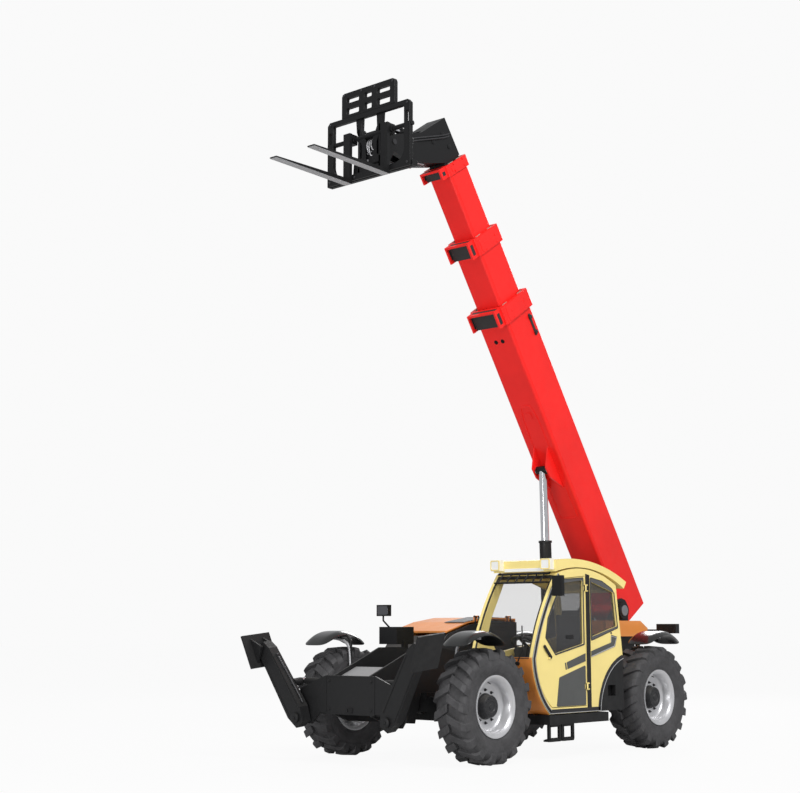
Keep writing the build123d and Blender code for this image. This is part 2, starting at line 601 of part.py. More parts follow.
# ---------------------------------------------------------------- boom
# name: width, height, wall, start and end along the boom, collar start, collar width and height over the tube
SECTIONS = {
    "outer": (440, 535, 12, -260, 4190, 3970, 60, 60),
    "second": (372, 457, 10, 450, 5060, 4850, 56, 56),
    "third": (322, 368, 10, 1150, 5970, 5840, 50, 50),
    "head": (272, 290, 10, 1500, 6200, 0, 0, 0),
}


def tube(width, height, wall, start, end):
    """Boom tube with rounded corners, open at both ends, in the boom's frame."""
    outer = Plane.YZ.offset(start) * RectangleRounded(width, height, TUBE_CORNER)
    inner = Plane.YZ.offset(start) * RectangleRounded(width - 2 * wall, height - 2 * wall, TUBE_CORNER - wall)
    return extrude(outer - inner, end - start, dir=(1, 0, 0))


def collar(width, height, start, end, wide, tall):
    """Stiffening collar round a tube's front end, with two windowed brackets under it."""
    outer = Plane.YZ.offset(start) * RectangleRounded(width + wide, height + tall, TUBE_CORNER)
    inner = Plane.YZ.offset(start) * RectangleRounded(width - 4, height - 4, TUBE_CORNER - 2)
    ring = extrude(outer - inner, end - start, dir=(1, 0, 0))
    low = -height / 2 - tall / 2
    pieces = [ring]
    for hand in (1, -1):
        y = sorted((hand * (width / 2 - 10), hand * (width / 2 - 34)))
        cheek = block((start, end), y, (low - 118, low + 4))
        window = block((start + 35, end - 45), (y[0] - 5, y[1] + 5), (low - 88, low - 30))
        pieces.append(cheek - window)
    pieces.append(block((end - 24, end), (-width / 2 + 10, width / 2 - 10), (low - 118, low - 70)))
    return joined(pieces)


PIVOT_BOSS = 78.0
PIVOT_CROWN = 17.5


def boom_outer():
    width, height, wall, start, end, collar_start, wide, tall = SECTIONS["outer"]
    body = tube(width, height, wall, start, end)
    cap = block((start, start + wall), (-width / 2 + 3, width / 2 - 3), (-height / 2 + 3, height / 2 - 3))
    cap = fillet(cap.edges().filter_by(Axis.X), TUBE_CORNER - 6)
    pieces = [body, cap, collar(width, height, collar_start, end, wide, tall)]
    along, above = to_boom(PIVOT_X, PIVOT_Z)
    low = -height / 2
    for hand in (1, -1):
        y = sorted((hand * (width / 2 - 30), hand * width / 2))
        cheek = side([(along - 150, low + 60), (along - PIVOT_BOSS, above - 40), (along, above - PIVOT_BOSS),
                      (along + PIVOT_BOSS, above - 40), (along + 420, low + 60)], y)
        pieces.append(cheek)
    boss = bar((along, -width / 2 - 20, above), (along, width / 2 + 20, above), PIVOT_BOSS)
    crown = low + wall + PIVOT_CROWN
    pieces.append(boss - block((start, along + 200), (-width / 2 + wall, width / 2 - wall), (crown, 0)))
    eye_along, eye_above = to_boom(LIFT_EYE_X, LIFT_EYE_Z)
    for hand in (1, -1):
        y = sorted((hand * 92, hand * 112))
        pieces.append(side([(eye_along - 330, low + 4), (eye_along - 80, eye_above - 50), (eye_along + 60, eye_above - 60),
                            (eye_along + 260, low + 4)], y))
    whole = joined(pieces)
    whole -= bar((along, -400, above), (along, 400, above), PIN_RADIUS + RUNNING_GAP)
    return boom_frame() * whole


def boom_second():
    width, height, wall, start, end, collar_start, wide, tall = SECTIONS["second"]
    return boom_frame() * joined([tube(width, height, wall, start, end),
                                  collar(width, height, collar_start, end, wide, tall)])


def boom_third():
    width, height, wall, start, end, collar_start, wide, tall = SECTIONS["third"]
    return boom_frame() * joined([tube(width, height, wall, start, end),
                                  collar(width, height, collar_start, end, wide, tall)])


HEAD_HALF = 136.0
HEAD_SLOT = 62.0
HEAD_NECK = [(-439, 7262), (-39, 6983), (501, 6823), (545, 6740), (500, 6660), (400, 6640), (235, 6606), (-119, 6637)]
HEAD_START = 5992.0


def boom_head():
    """Inner tube and the goose-neck that carries the fork carriage."""
    width, height, wall, start, end, *_ = SECTIONS["head"]
    shaft = boom_frame() * tube(width, height, wall, start, end)
    start_points = [from_boom(HEAD_START, -height / 2), from_boom(HEAD_START, height / 2)]
    neck = side(start_points + HEAD_NECK, (-HEAD_HALF, HEAD_HALF))
    slot = side([(-300, 7040), (620, 7040), (620, 6560), (300, 6560), (60, 6660), (-300, 6800)], (-HEAD_SLOT, HEAD_SLOT))
    bore = bar((FORK_PIVOT_X, -300, FORK_PIVOT_Z), (FORK_PIVOT_X, 300, FORK_PIVOT_Z), 32 + RUNNING_GAP)
    return shaft + neck - slot - bore


# ---------------------------------------------------------------- cylinders of the boom
LIFT_BARREL_LENGTH = 1120.0
LIFT_BARREL_RADIUS = 92.0
LIFT_SLEEVE_RADIUS = 72.0
LIFT_ROD_RADIUS = 50.0


def lift_line():
    """Start, direction and length of the lift cylinder from its base pin to its rod's eye."""
    dx, dz = LIFT_EYE_X - LIFT_BASE_X, LIFT_EYE_Z - LIFT_BASE_Z
    length = hypot(dx, dz)
    return dx / length, dz / length, length


def lift_place():
    """Lift cylinder's frame: Z along the cylinder from its base pin."""
    across, up, _ = lift_line()
    return Plane(origin=(LIFT_BASE_X, 0, LIFT_BASE_Z), x_dir=(up, 0, -across), z_dir=(across, 0, up))


def upright_tube(low, high, outer, inner):
    length = high - low
    align = (Align.CENTER, Align.CENTER, Align.MIN)
    return Pos(0, 0, low) * (Cylinder(outer, length, align=align) - Cylinder(inner, length, align=align))


def eye(z, radius, half, bore):
    ring = bar((0, -half, z), (0, half, z), radius)
    return ring - bar((0, -half - 5, z), (0, half + 5, z), bore) if bore else ring


LIFT_STAGE_STROKE = -LIFT_LOW * LIFT_STAGE_PER_DEGREE
LIFT_SLEEVE_TOP = LIFT_BARREL_LENGTH + LIFT_STAGE_STROKE + 30


def lift_barrel():
    tube_part = upright_tube(90, LIFT_BARREL_LENGTH, LIFT_BARREL_RADIUS, LIFT_SLEEVE_RADIUS + RUNNING_GAP)
    gland = upright_tube(LIFT_BARREL_LENGTH - 70, LIFT_BARREL_LENGTH, LIFT_BARREL_RADIUS + 10,
                         LIFT_SLEEVE_RADIUS + RUNNING_GAP)
    base = Pos(0, 0, 60) * Cylinder(LIFT_BARREL_RADIUS, 60)
    foot = bar((0, -70, 0), (0, 70, 0), 68)
    whole = joined([tube_part, gland, base, foot]) - bar((0, -200, 0), (0, 200, 0), LIFT_PIN + RUNNING_GAP)
    return lift_place() * whole


def lift_sleeve():
    low = 95 + LIFT_STAGE_STROKE
    body = upright_tube(low, LIFT_SLEEVE_TOP, LIFT_SLEEVE_RADIUS, LIFT_ROD_RADIUS + RUNNING_GAP)
    gland = upright_tube(LIFT_SLEEVE_TOP - 24, LIFT_SLEEVE_TOP, LIFT_SLEEVE_RADIUS + 8, LIFT_ROD_RADIUS + RUNNING_GAP)
    return lift_place() * joined([body, gland])


def lift_rod():
    _, _, length = lift_line()
    low = 110 + 2 * LIFT_STAGE_STROKE
    align = (Align.CENTER, Align.CENTER, Align.MIN)
    shaft = Pos(0, 0, low) * Cylinder(LIFT_ROD_RADIUS, length - low, align=align)
    return lift_place() * joined([shaft, eye(length, 50, 84, 0)])


TILT_BASE = (-330.0, 6960.0)
TILT_EYE = (486.0, 6960.0)


def tilt_barrel():
    (x0, z0), (x1, z1) = TILT_BASE, TILT_EYE
    ux, uz = (x1 - x0) / hypot(x1 - x0, z1 - z0), (z1 - z0) / hypot(x1 - x0, z1 - z0)
    start = (x0 + 60 * ux, 0, z0 + 60 * uz)
    end = (x0 + 520 * ux, 0, z0 + 520 * uz)
    shell = bar(start, end, 52) - bar(start, (end[0] + 9 * ux, 0, end[2] + 9 * uz), 28 + RUNNING_GAP)
    return shell


def tilt_rod():
    (x0, z0), (x1, z1) = TILT_BASE, TILT_EYE
    ux, uz = (x1 - x0) / hypot(x1 - x0, z1 - z0), (z1 - z0) / hypot(x1 - x0, z1 - z0)
    start = (x0 + 270 * ux, 0, z0 + 270 * uz)
    return bar(start, (x1, 0, z1), 28) + bar((x1, -24, z1), (x1, 24, z1), 42)


# ---------------------------------------------------------------- fork carriage
SHAFT_X = 675.0
SHAFT_Z = 6795.0
SHAFT_RADIUS = 26.0


def fork_carriage():
    """Coupler on the head's pin, and the frame that the forks hang on."""
    x = (660, 712)
    half = 650
    posts = both_sides(block(x, (half - 48, half), (6330, 7063)))
    bars = [block(x, (-half, half), (7018, 7063)), block((610, 690), (-680, 680), (6320, 6372)),
            bar((SHAFT_X, -half - 14, SHAFT_Z), (SHAFT_X, half + 14, SHAFT_Z), SHAFT_RADIUS)]
    upper = [block(x, (y - 24, y + 24), (7040, 7360)) for y in (-390, -130, 130, 390)]
    upper += [block(x, (-414, 414), (z - 24, z + 24)) for z in (7336, 7220)]
    brace = front([(95, 6340), (150, 6340), (150, 6830), (240, 7030), (180, 7030), (95, 6850)], (640, 690))
    cheek = side([(410, 6700), (440, 6650), (640, 6330), (690, 6330), (690, 6900), (600, 6900), (410, 6790)],
                 (HEAD_HALF + CLEAR, HEAD_HALF + CLEAR + 30))
    tie = block((600, 690), (-HEAD_HALF - CLEAR - 30, HEAD_HALF + CLEAR + 30), (6440, 6470))
    whole = joined([posts, *bars, *upper, both_sides(brace), both_sides(cheek), tie])
    bore = 32 + RUNNING_GAP
    return whole - bar((FORK_PIVOT_X, -300, FORK_PIVOT_Z), (FORK_PIVOT_X, 300, FORK_PIVOT_Z), bore)


def fork_pin():
    half = HEAD_HALF + CLEAR + 38
    return bar((FORK_PIVOT_X, -half, FORK_PIVOT_Z), (FORK_PIVOT_X, half, FORK_PIVOT_Z), 32)


FORK_Y = 285.0
FORK_TIP_X = 1865.0
FORK_TOP_Z = 6330.0
FORK_BACK_X = 714.0
FORK_SHANK = 40.0
FORK_WIDTH = 100.0
FORK_HEEL = 50.0
FORK_TIP = 12.0


def forks():
    """Two forks: an upright shank hooked on the shaft and a tapered blade."""
    pieces = []
    for y in (-FORK_Y, FORK_Y):
        width = (y - FORK_WIDTH / 2, y + FORK_WIDTH / 2)
        shank = block((FORK_BACK_X, FORK_BACK_X + FORK_SHANK), width, (FORK_TOP_Z - FORK_HEEL, SHAFT_Z + 65))
        hook = block((SHAFT_X - 46, FORK_BACK_X + 18), width, (SHAFT_Z - 50, SHAFT_Z + 60))
        hook -= bar((SHAFT_X, y - 60, SHAFT_Z), (SHAFT_X, y + 60, SHAFT_Z), SHAFT_RADIUS + RUNNING_GAP)
        blade = side([(FORK_BACK_X, FORK_TOP_Z - FORK_HEEL), (FORK_TIP_X, FORK_TOP_Z - FORK_TIP),
                      (FORK_TIP_X, FORK_TOP_Z), (FORK_BACK_X, FORK_TOP_Z)], width)
        pieces.append(joined([shank, hook, blade]))
    return pieces


# ---------------------------------------------------------------- stabilisers
def stabiliser_leg():
    """Left leg with its foot, in the vehicle's frame."""
    width = 88
    local = []
    corners = [leg_point(-90, -60), leg_point(-90, 60), leg_point(60, 118), leg_point(LEG_REACH - 60, width),
               leg_point(LEG_REACH + 40, 50), leg_point(LEG_REACH + 40, -50), leg_point(LEG_REACH - 60, -width),
               leg_point(60, -110)]
    local.append(swept(closed_face(corners), Plane.YZ.offset(-LEG_HALF), 2 * LEG_HALF))
    across, up = leg_point(*CYLINDER_EYE)
    local.append(bar((-LEG_HALF + 10, across, up), (CYLINDER_PLANE + 36, across, up), 42))
    pin_across, pin_up = leg_point(LEG_REACH, 0)
    lean = radians(21)
    out, down = cos(lean), sin(lean)
    face = (pin_across + 110 * out, pin_up - 110 * down)
    sole = Location((0, face[0], face[1]), (-21, 0, 0)) * Box(400, 22, 370)
    local.append(sole)
    for x in (-LEG_HALF - 40, LEG_HALF + 16):
        triangle = [(pin_across - 40, pin_up + 10), (face[0] + 150 * sin(lean), face[1] + 150 * cos(lean)),
                    (face[0] - 150 * sin(lean), face[1] - 150 * cos(lean))]
        local.append(swept(closed_face(triangle), Plane.YZ.offset(x), 24))
    local.append(bar((-LEG_HALF - 46, pin_across, pin_up), (LEG_HALF + 46, pin_across, pin_up), 26))
    whole = joined(local) - bar((-LEG_HALF - 1, 0, 0), (LEG_HALF + 1, 0, 0), LEG_PIN + RUNNING_GAP)
    return leg_place() * whole


def leg_cylinder_line():
    across, up = leg_point(*CYLINDER_EYE)
    base_across, base_up = CYLINDER_BASE
    length = hypot(across - base_across, up - base_up)
    return (across - base_across) / length, (up - base_up) / length, length


LEG_BARREL_LENGTH = 385.0


def leg_barrel():
    ux, uz, _ = leg_cylinder_line()
    y, z = CYLINDER_BASE

    def at(distance):
        return (CYLINDER_PLANE, y + distance * ux, z + distance * uz)

    whole = bar(at(30), at(LEG_BARREL_LENGTH), 42) - bar(at(70), at(LEG_BARREL_LENGTH + 5), 24 + RUNNING_GAP)
    whole += bar((CYLINDER_PLANE - 26, y, z), (CYLINDER_PLANE + 26, y, z), 38)
    whole -= bar((CYLINDER_PLANE - 30, y, z), (CYLINDER_PLANE + 30, y, z), 18 + RUNNING_GAP)
    return leg_place() * whole


def leg_rod():
    ux, uz, length = leg_cylinder_line()
    y, z = CYLINDER_BASE

    def at(distance):
        return (CYLINDER_PLANE, y + distance * ux, z + distance * uz)

    tip = at(length)
    whole = bar(at(80), tip, 24) + bar((CYLINDER_PLANE - 26, tip[1], tip[2]), (CYLINDER_PLANE + 26, tip[1], tip[2]), 38)
    return leg_place() * whole


# ---------------------------------------------------------------- assembly
def rear_corner_x():
    """X of the boom's top rear corner, the vehicle's rearmost point."""
    _, height, _, start, *_ = SECTIONS["outer"]
    return from_boom(start, height / 2)[0]


MIDDLE_X = (rear_corner_x() + FORK_TIP_X) / 2

WHEELS = {
    "front_left": (0.0, 1, 1), "front_right": (0.0, -1, 1),
    "rear_left": (REAR_AXLE_X, 1, -1), "rear_right": (REAR_AXLE_X, -1, -1),
}


def wheel_places():
    """Nodes of the four wheels: each is the left front one, mirrored where its side or end is the other one."""
    master = {"tyre": tyre(), "rim": rim(), "knuckle": knuckle(), "mudguard": mudguard()}
    found = {}
    for name, (x, hand, end) in WHEELS.items():
        for piece, shape in master.items():
            placed = shape
            if hand < 0:
                placed = mirror(placed, about=Plane.XZ)
            if end < 0:
                placed = mirror(placed, about=Plane.YZ)
            found[f"{piece}_{name}"] = Pos(x, hand * TRACK / 2, TYRE_RADIUS) * placed
    return found


def build():
    right_mirror, left_mirror = mirrors()
    nodes = {
        "chassis_plate_left": chassis_plate(),
        "chassis_plate_right": mirror(chassis_plate(), about=Plane.XZ),
        "cross_members": cross_members(),
        "boom_pivot_pin": pivot_pin(),
        "front_frame": front_frame(),
        "front_axle": axle(0),
        "rear_axle": axle(REAR_AXLE_X),
        "side_sill": side_sill(),
        "fuel_tank": fuel_tank(),
        "engine_block": engine_block(),
        "engine_bay": engine_bay(),
        "hood_lid": hood_lid(),
        "rear_cowl": rear_cowl(),
        "rear_lights": rear_lights(),
        "cab_shell": cab_shell(),
        "cab_roof": cab_roof(),
        "cab_glass": cab_glass(),
        "door_panel": door_panel(),
        "door_glass": door_glass(),
        "seat": seat(),
        "dashboard": dashboard(),
        "roof_guard": roof_guard(),
        "work_lamps": work_lamps(),
        "mirror_right": right_mirror,
        "mirror_left": left_mirror,
        "boom_outer": boom_outer(),
        "boom_second": boom_second(),
        "boom_third": boom_third(),
        "boom_head": boom_head(),
        "lift_barrel": lift_barrel(),
        "lift_sleeve": lift_sleeve(),
        "lift_rod": lift_rod(),
        "tilt_barrel": tilt_barrel(),
        "tilt_rod": tilt_rod(),
        "fork_carriage": fork_carriage(),
        "fork_pin": fork_pin(),
        "forks": forks(),
    }
    for piece, shape in (("stabiliser_leg", stabiliser_leg()), ("stabiliser_barrel", leg_barrel()),
                         ("stabiliser_rod", leg_rod())):
        nodes[f"{piece}_left"] = shape
        nodes[f"{piece}_right"] = mirror(shape, about=Plane.XZ)
    nodes.update(wheel_places())
    return nodes


def solids_of(shape):
    if isinstance(shape, (list, tuple)):
        return [solid for item in shape for solid in solids_of(item)]
    return list(shape.solids())


NODES = build()
os.makedirs("parts", exist_ok=True)
for name, shape in NODES.items():
    placed = [solid.moved(Location((-MIDDLE_X, 0, 0))) for solid in solids_of(shape)]
    export_step(placed[0] if len(placed) == 1 else Compound(placed), f"parts/{name}.step")
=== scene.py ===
from math import cos, pi, radians, sin

import bmesh
import bpy
from mathutils import Matrix, Vector


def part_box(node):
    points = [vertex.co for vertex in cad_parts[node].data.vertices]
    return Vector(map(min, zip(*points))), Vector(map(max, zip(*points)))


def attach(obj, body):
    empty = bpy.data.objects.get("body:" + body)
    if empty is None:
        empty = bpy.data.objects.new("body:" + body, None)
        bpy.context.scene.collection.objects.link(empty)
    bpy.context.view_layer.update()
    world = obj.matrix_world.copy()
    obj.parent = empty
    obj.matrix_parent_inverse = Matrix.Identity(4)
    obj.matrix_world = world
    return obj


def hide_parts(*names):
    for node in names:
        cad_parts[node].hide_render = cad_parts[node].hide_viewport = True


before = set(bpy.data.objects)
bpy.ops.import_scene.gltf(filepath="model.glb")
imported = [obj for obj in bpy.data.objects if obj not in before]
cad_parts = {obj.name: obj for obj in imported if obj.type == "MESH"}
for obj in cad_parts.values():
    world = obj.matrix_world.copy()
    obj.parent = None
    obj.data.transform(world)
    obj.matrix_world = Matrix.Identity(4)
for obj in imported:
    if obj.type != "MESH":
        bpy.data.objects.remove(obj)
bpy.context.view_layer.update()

# %% [markdown]
# The telehandler stands on its four wheels with the boom raised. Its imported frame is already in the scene, so this
# lesson only dresses it. The machine's own measures are counted from the front axle, and the frame is centred on the
# whole machine, so a single shift along X carries one into the other.

# %% Where the front axle is
front_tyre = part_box("tyre_front_left")
AXLE_X = (front_tyre[0][0] + front_tyre[1][0]) / 2
AXLE_Z = (front_tyre[0][2] + front_tyre[1][2]) / 2
REAR_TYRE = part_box("tyre_rear_left")
REAR_X = (REAR_TYRE[0][0] + REAR_TYRE[1][0]) / 2
WHEELS = ("front_left", "front_right", "rear_left", "rear_right")


def at(x, y, z):
    """A point counted from the front axle, in metres, as a point of the frame."""
    return Vector((x + AXLE_X, y, z))


print("front axle at", round(AXLE_X, 4), "rear axle at", round(REAR_X, 4))

# %% [markdown]
# A long lens far from the machine keeps the tall boom from leaning. The camera stands at chest height ahead of the
# left front wheel and looks up a little, so both the wheels and the fork carriage fit into one picture.

# %% Camera
CAMERA_AT = at(12.271, 11.006, 1.360)
CAMERA_TURN = radians(42.31)
CAMERA_RISE = radians(8.905)
camera_data = bpy.data.cameras.new("view")
camera_data.sensor_width = 36
camera_data.sensor_fit = "HORIZONTAL"
camera_data.lens = 67.46
camera_data.clip_end = 400
camera = bpy.data.objects.new("view", camera_data)
bpy.context.collection.objects.link(camera)
looking = Vector((-cos(CAMERA_TURN) * cos(CAMERA_RISE), -sin(CAMERA_TURN) * cos(CAMERA_RISE), sin(CAMERA_RISE)))
camera.matrix_world = Matrix.Translation(CAMERA_AT) @ looking.to_track_quat("-Z", "Y").to_matrix().to_4x4()
bpy.context.scene.camera = camera
bpy.context.scene.view_settings.view_transform = "Standard"

# %% [markdown]
# A studio has a pale sweep and big soft lamps. Here the world is the sweep: rays from the camera and through glass
# see its pale grey, while the light that falls on the paint is set apart and dimmer. The lamp above left gives the
# top faces their light side, and the world fills the shaded ones. The floor looks like the sweep to the camera, with
# a faint shadow on it, and to all other rays it is a matt floor that throws light up under the machine.

# %% World, lamps and floor
BACKDROP = (0.955, 0.955, 0.955, 1)
FLOOR_GLOW = 0.938
WORLD_LIGHT = 0.52
FLOOR_HALF = 120


def add_node(tree, kind, **values):
    """A new shader node with its inputs set. An underscore in an input's name stands for a space."""
    made = tree.nodes.new(kind)
    for name, value in values.items():
        made.inputs[name.replace("_", " ")].default_value = value
    return made


def wire(tree, *pairs):
    for source, target in pairs:
        tree.links.new(source, target)


world = bpy.data.worlds.new("studio")
bpy.context.scene.world = world
world.use_nodes = True
tree = world.node_tree
tree.nodes.clear()
seen = add_node(tree, "ShaderNodeBackground", Color=BACKDROP, Strength=1.0)
light = add_node(tree, "ShaderNodeBackground", Color=(0.97, 0.98, 1.0, 1), Strength=WORLD_LIGHT)
path = add_node(tree, "ShaderNodeLightPath")
either = add_node(tree, "ShaderNodeMath")
either.operation = "MAXIMUM"
mix = add_node(tree, "ShaderNodeMixShader")
out = add_node(tree, "ShaderNodeOutputWorld")
wire(tree, (path.outputs["Is Camera Ray"], either.inputs[0]), (path.outputs["Is Transmission Ray"], either.inputs[1]),
     (either.outputs[0], mix.inputs[0]), (light.outputs[0], mix.inputs[1]), (seen.outputs[0], mix.inputs[2]),
     (mix.outputs[0], out.inputs["Surface"]))


def lamp(name, place, aim, size, watts):
    data = bpy.data.lights.new(name, "AREA")
    data.shape = "DISK"
    data.size = size
    data.energy = watts
    obj = bpy.data.objects.new(name, data)
    bpy.context.collection.objects.link(obj)
    turn = (Vector(aim) - Vector(place)).to_track_quat("-Z", "Y").to_matrix().to_4x4()
    obj.matrix_world = Matrix.Translation(Vector(place)) @ turn


lamp("key", (5, 13, 15), (0, 0, 2.6), 9, 2600)
lamp("rim", (-12, -6, 10), (0, 0, 3), 8, 1100)
lamp("fill", (11.5, 3.0, 0.8), (-0.5, 0, 5.0), 5, 700)

bm = bmesh.new()
bmesh.ops.create_grid(bm, x_segments=1, y_segments=1, size=FLOOR_HALF)
floor_mesh = bpy.data.meshes.new("floor")
bm.to_mesh(floor_mesh)
bm.free()
floor = bpy.data.objects.new("floor", floor_mesh)
bpy.context.collection.objects.link(floor)
floor_material = bpy.data.materials.new("studio_floor")
floor_material.use_nodes = True
tree = floor_material.node_tree
tree.nodes.clear()
matt = add_node(tree, "ShaderNodeBsdfDiffuse", Color=(0.55, 0.55, 0.55, 1))
faint = add_node(tree, "ShaderNodeBsdfDiffuse", Color=(0.03, 0.03, 0.03, 1))
glow = add_node(tree, "ShaderNodeEmission", Strength=FLOOR_GLOW)
path = add_node(tree, "ShaderNodeLightPath")
both = add_node(tree, "ShaderNodeAddShader")
mix = add_node(tree, "ShaderNodeMixShader")
out = add_node(tree, "ShaderNodeOutputMaterial")
wire(tree, (faint.outputs[0], both.inputs[0]), (glow.outputs[0], both.inputs[1]),
     (path.outputs["Is Camera Ray"], mix.inputs[0]), (matt.outputs[0], mix.inputs[1]),
     (both.outputs[0], mix.inputs[2]), (mix.outputs[0], out.inputs["Surface"]))
floor_mesh.materials.append(floor_material)

# %% [markdown]
# Paint on a working machine is never one flat colour. Every paint below follows the same recipe: a broad cloud shifts
# the tone a few percent, a fine grain roughens the gloss, and dust gathers on faces that look up. Numbers that are
# the same all over sit on the shader itself, and only what varies comes from nodes.

# %% Finishes


def finish_base(name):
    """A material with its principled shader and a texture coordinate node for the noises to read."""
    material = bpy.data.materials.new(name)
    material.use_nodes = True
    tree = material.node_tree
    shader = tree.nodes["Principled BSDF"]
    where = tree.nodes.new("ShaderNodeTexCoord")
    return material, tree, shader, where


def noise(tree, where, scale, detail=3.0, rough=0.55):
    node = add_node(tree, "ShaderNodeTexNoise", Scale=scale, Detail=detail, Roughness=rough)
    wire(tree, (where.outputs["Object"], node.inputs["Vector"]))
    return node.outputs["Fac"]


def ramp(tree, source, stops):
    node = tree.nodes.new("ShaderNodeValToRGB")
    for number, (place, colour) in enumerate(stops):
        stop = node.color_ramp.elements[number]
        stop.position = place
        stop.color = (*colour, 1)
    tree.links.new(source, node.inputs["Fac"])
    return node.outputs["Color"]


def grey(value):
    return (value, value, value)


def shifted(colour, factor):
    return tuple(min(1.0, channel * factor) for channel in colour[:3])


def bump(tree, source, shader, strength, distance):
    node = add_node(tree, "ShaderNodeBump", Strength=strength, Distance=distance)
    wire(tree, (source, node.inputs["Height"]), (node.outputs["Normal"], shader.inputs["Normal"]))


def dust_mask(tree, where, amount):
    """White where a face looks up and the cloud is dense."""
    geometry = add_node(tree, "ShaderNodeNewGeometry")
    split = add_node(tree, "ShaderNodeSeparateXYZ")
    cloud = noise(tree, where, 5.0, 5.0, 0.65)
    up = add_node(tree, "ShaderNodeMapRange", From_Min=0.2, From_Max=1.0, To_Max=amount)
    product = add_node(tree, "ShaderNodeMath")
    product.operation = "MULTIPLY"
    wire(tree, (geometry.outputs["Normal"], split.inputs[0]), (split.outputs["Z"], up.inputs["Value"]),
         (up.outputs[0], product.inputs[0]), (cloud, product.inputs[1]))
    return product.outputs[0]


DUST = (0.42, 0.38, 0.32, 1)


def paint(name, colour, roughness, coat=0.0, spread=0.06, dust=0.25, metallic=0.0, peel=0.02, gloss=0.3):
    """Sprayed paint: tone clouds, dust on top faces, a faint orange peel in the gloss."""
    material, tree, shader, where = finish_base(name)
    tone = ramp(tree, noise(tree, where, 1.6),
                [(0.3, shifted(colour, 1 - spread)), (0.7, shifted(colour, 1 + spread))])
    blend = tree.nodes.new("ShaderNodeMix")
    blend.data_type = "RGBA"
    blend.inputs["B"].default_value = DUST
    wire(tree, (dust_mask(tree, where, dust), blend.inputs["Factor"]), (tone, blend.inputs["A"]),
         (blend.outputs["Result"], shader.inputs["Base Color"]))
    rough = ramp(tree, noise(tree, where, 9.0, 4.0),
                 [(0.3, grey(roughness * 0.85)), (0.75, grey(min(1, roughness * 1.3)))])
    wire(tree, (rough, shader.inputs["Roughness"]))
    shader.inputs["Metallic"].default_value = metallic
    shader.inputs["Specular IOR Level"].default_value = gloss
    shader.inputs["Coat Weight"].default_value = coat
    shader.inputs["Coat Roughness"].default_value = 0.12
    bump(tree, noise(tree, where, 260.0, 2.0), shader, peel, 0.002)
    return material


BOOM_RED = (0.86, 0.014, 0.011)
CAB_YELLOW = (0.905, 0.735, 0.265)
BODY_ORANGE = (0.86, 0.30, 0.065)
CHARCOAL = (0.0095, 0.0095, 0.010)
BLACK = (0.0055, 0.0055, 0.006)

boom_paint = paint("boom_red_paint", BOOM_RED, 0.42, coat=0.10, dust=0.03)
cab_paint = paint("cab_yellow_paint", CAB_YELLOW, 0.38, coat=0.35, dust=0.12)
hood_paint = paint("hood_orange_paint", BODY_ORANGE, 0.38, coat=0.35, dust=0.15)
chassis_paint = paint("chassis_charcoal_paint", CHARCOAL, 0.50, dust=0.05)
carriage_paint = paint("carriage_black_paint", BLACK, 0.42, dust=0.03)
bay_paint = paint("bay_dark_paint", (0.028, 0.028, 0.03), 0.6, dust=0.3)
plastic_black = paint("moulded_black_plastic", (0.010, 0.010, 0.011), 0.45, dust=0.04, peel=0.10)
mudguard_black = paint("mudguard_gloss_plastic", (0.008, 0.009, 0.009), 0.20, coat=0.5, dust=0.03)
seat_black = paint("seat_vinyl", (0.03, 0.03, 0.032), 0.6, dust=0.05, peel=0.25)
lamp_housing = paint("lamp_pale_plastic", (0.86, 0.82, 0.70), 0.3, coat=0.3)
rim_silver = paint("rim_silver_paint", (0.60, 0.60, 0.615), 0.32, coat=0.2, metallic=0.55, dust=0.15)
engine_iron = paint("engine_cast_iron", (0.08, 0.08, 0.085), 0.7, dust=0.4, metallic=0.4)


def rubber(name, colour, roughness):
    """Tyre rubber: dusty in patches, finely grained."""
    material, tree, shader, where = finish_base(name)
    tone = ramp(tree, noise(tree, where, 6.0, 6.0, 0.7),
                [(0.35, shifted(colour, 0.8)), (0.72, shifted(colour, 1.5))])
    rough = ramp(tree, noise(tree, where, 30.0, 4.0),
                 [(0.3, grey(roughness * 0.9)), (0.8, grey(min(1, roughness * 1.2)))])
    wire(tree, (tone, shader.inputs["Base Color"]), (rough, shader.inputs["Roughness"]))
    bump(tree, noise(tree, where, 420.0, 3.0), shader, 0.25, 0.002)
    return material


tyre_rubber = rubber("tyre_rubber", (0.045, 0.044, 0.046), 0.72)
seal_rubber = rubber("seal_rubber", (0.018, 0.018, 0.019), 0.6)
hose_rubber = rubber("hose_rubber", (0.02, 0.02, 0.022), 0.45)


def metal(name, colour, roughness, scratch=60.0):
    """Bare metal: a stretched noise brushes the gloss along X."""
    material, tree, shader, where = finish_base(name)
    tone = ramp(tree, noise(tree, where, 8.0), [(0.3, shifted(colour, 0.88)), (0.7, shifted(colour, 1.06))])
    stretch = add_node(tree, "ShaderNodeMapping", Scale=(scratch * 0.05, scratch, scratch))
    brushed = add_node(tree, "ShaderNodeTexNoise", Scale=5.0)
    rough = ramp(tree, brushed.outputs["Fac"],
                 [(0.3, grey(roughness * 0.7)), (0.75, grey(min(1, roughness * 1.5)))])
    wire(tree, (tone, shader.inputs["Base Color"]), (where.outputs["Object"], stretch.inputs["Vector"]),
         (stretch.outputs[0], brushed.inputs["Vector"]), (rough, shader.inputs["Roughness"]))
    shader.inputs["Metallic"].default_value = 1.0
    return material


steel = metal("brushed_steel", (0.42, 0.42, 0.43), 0.4)
chrome = metal("cylinder_chrome", (0.80, 0.80, 0.82), 0.14)


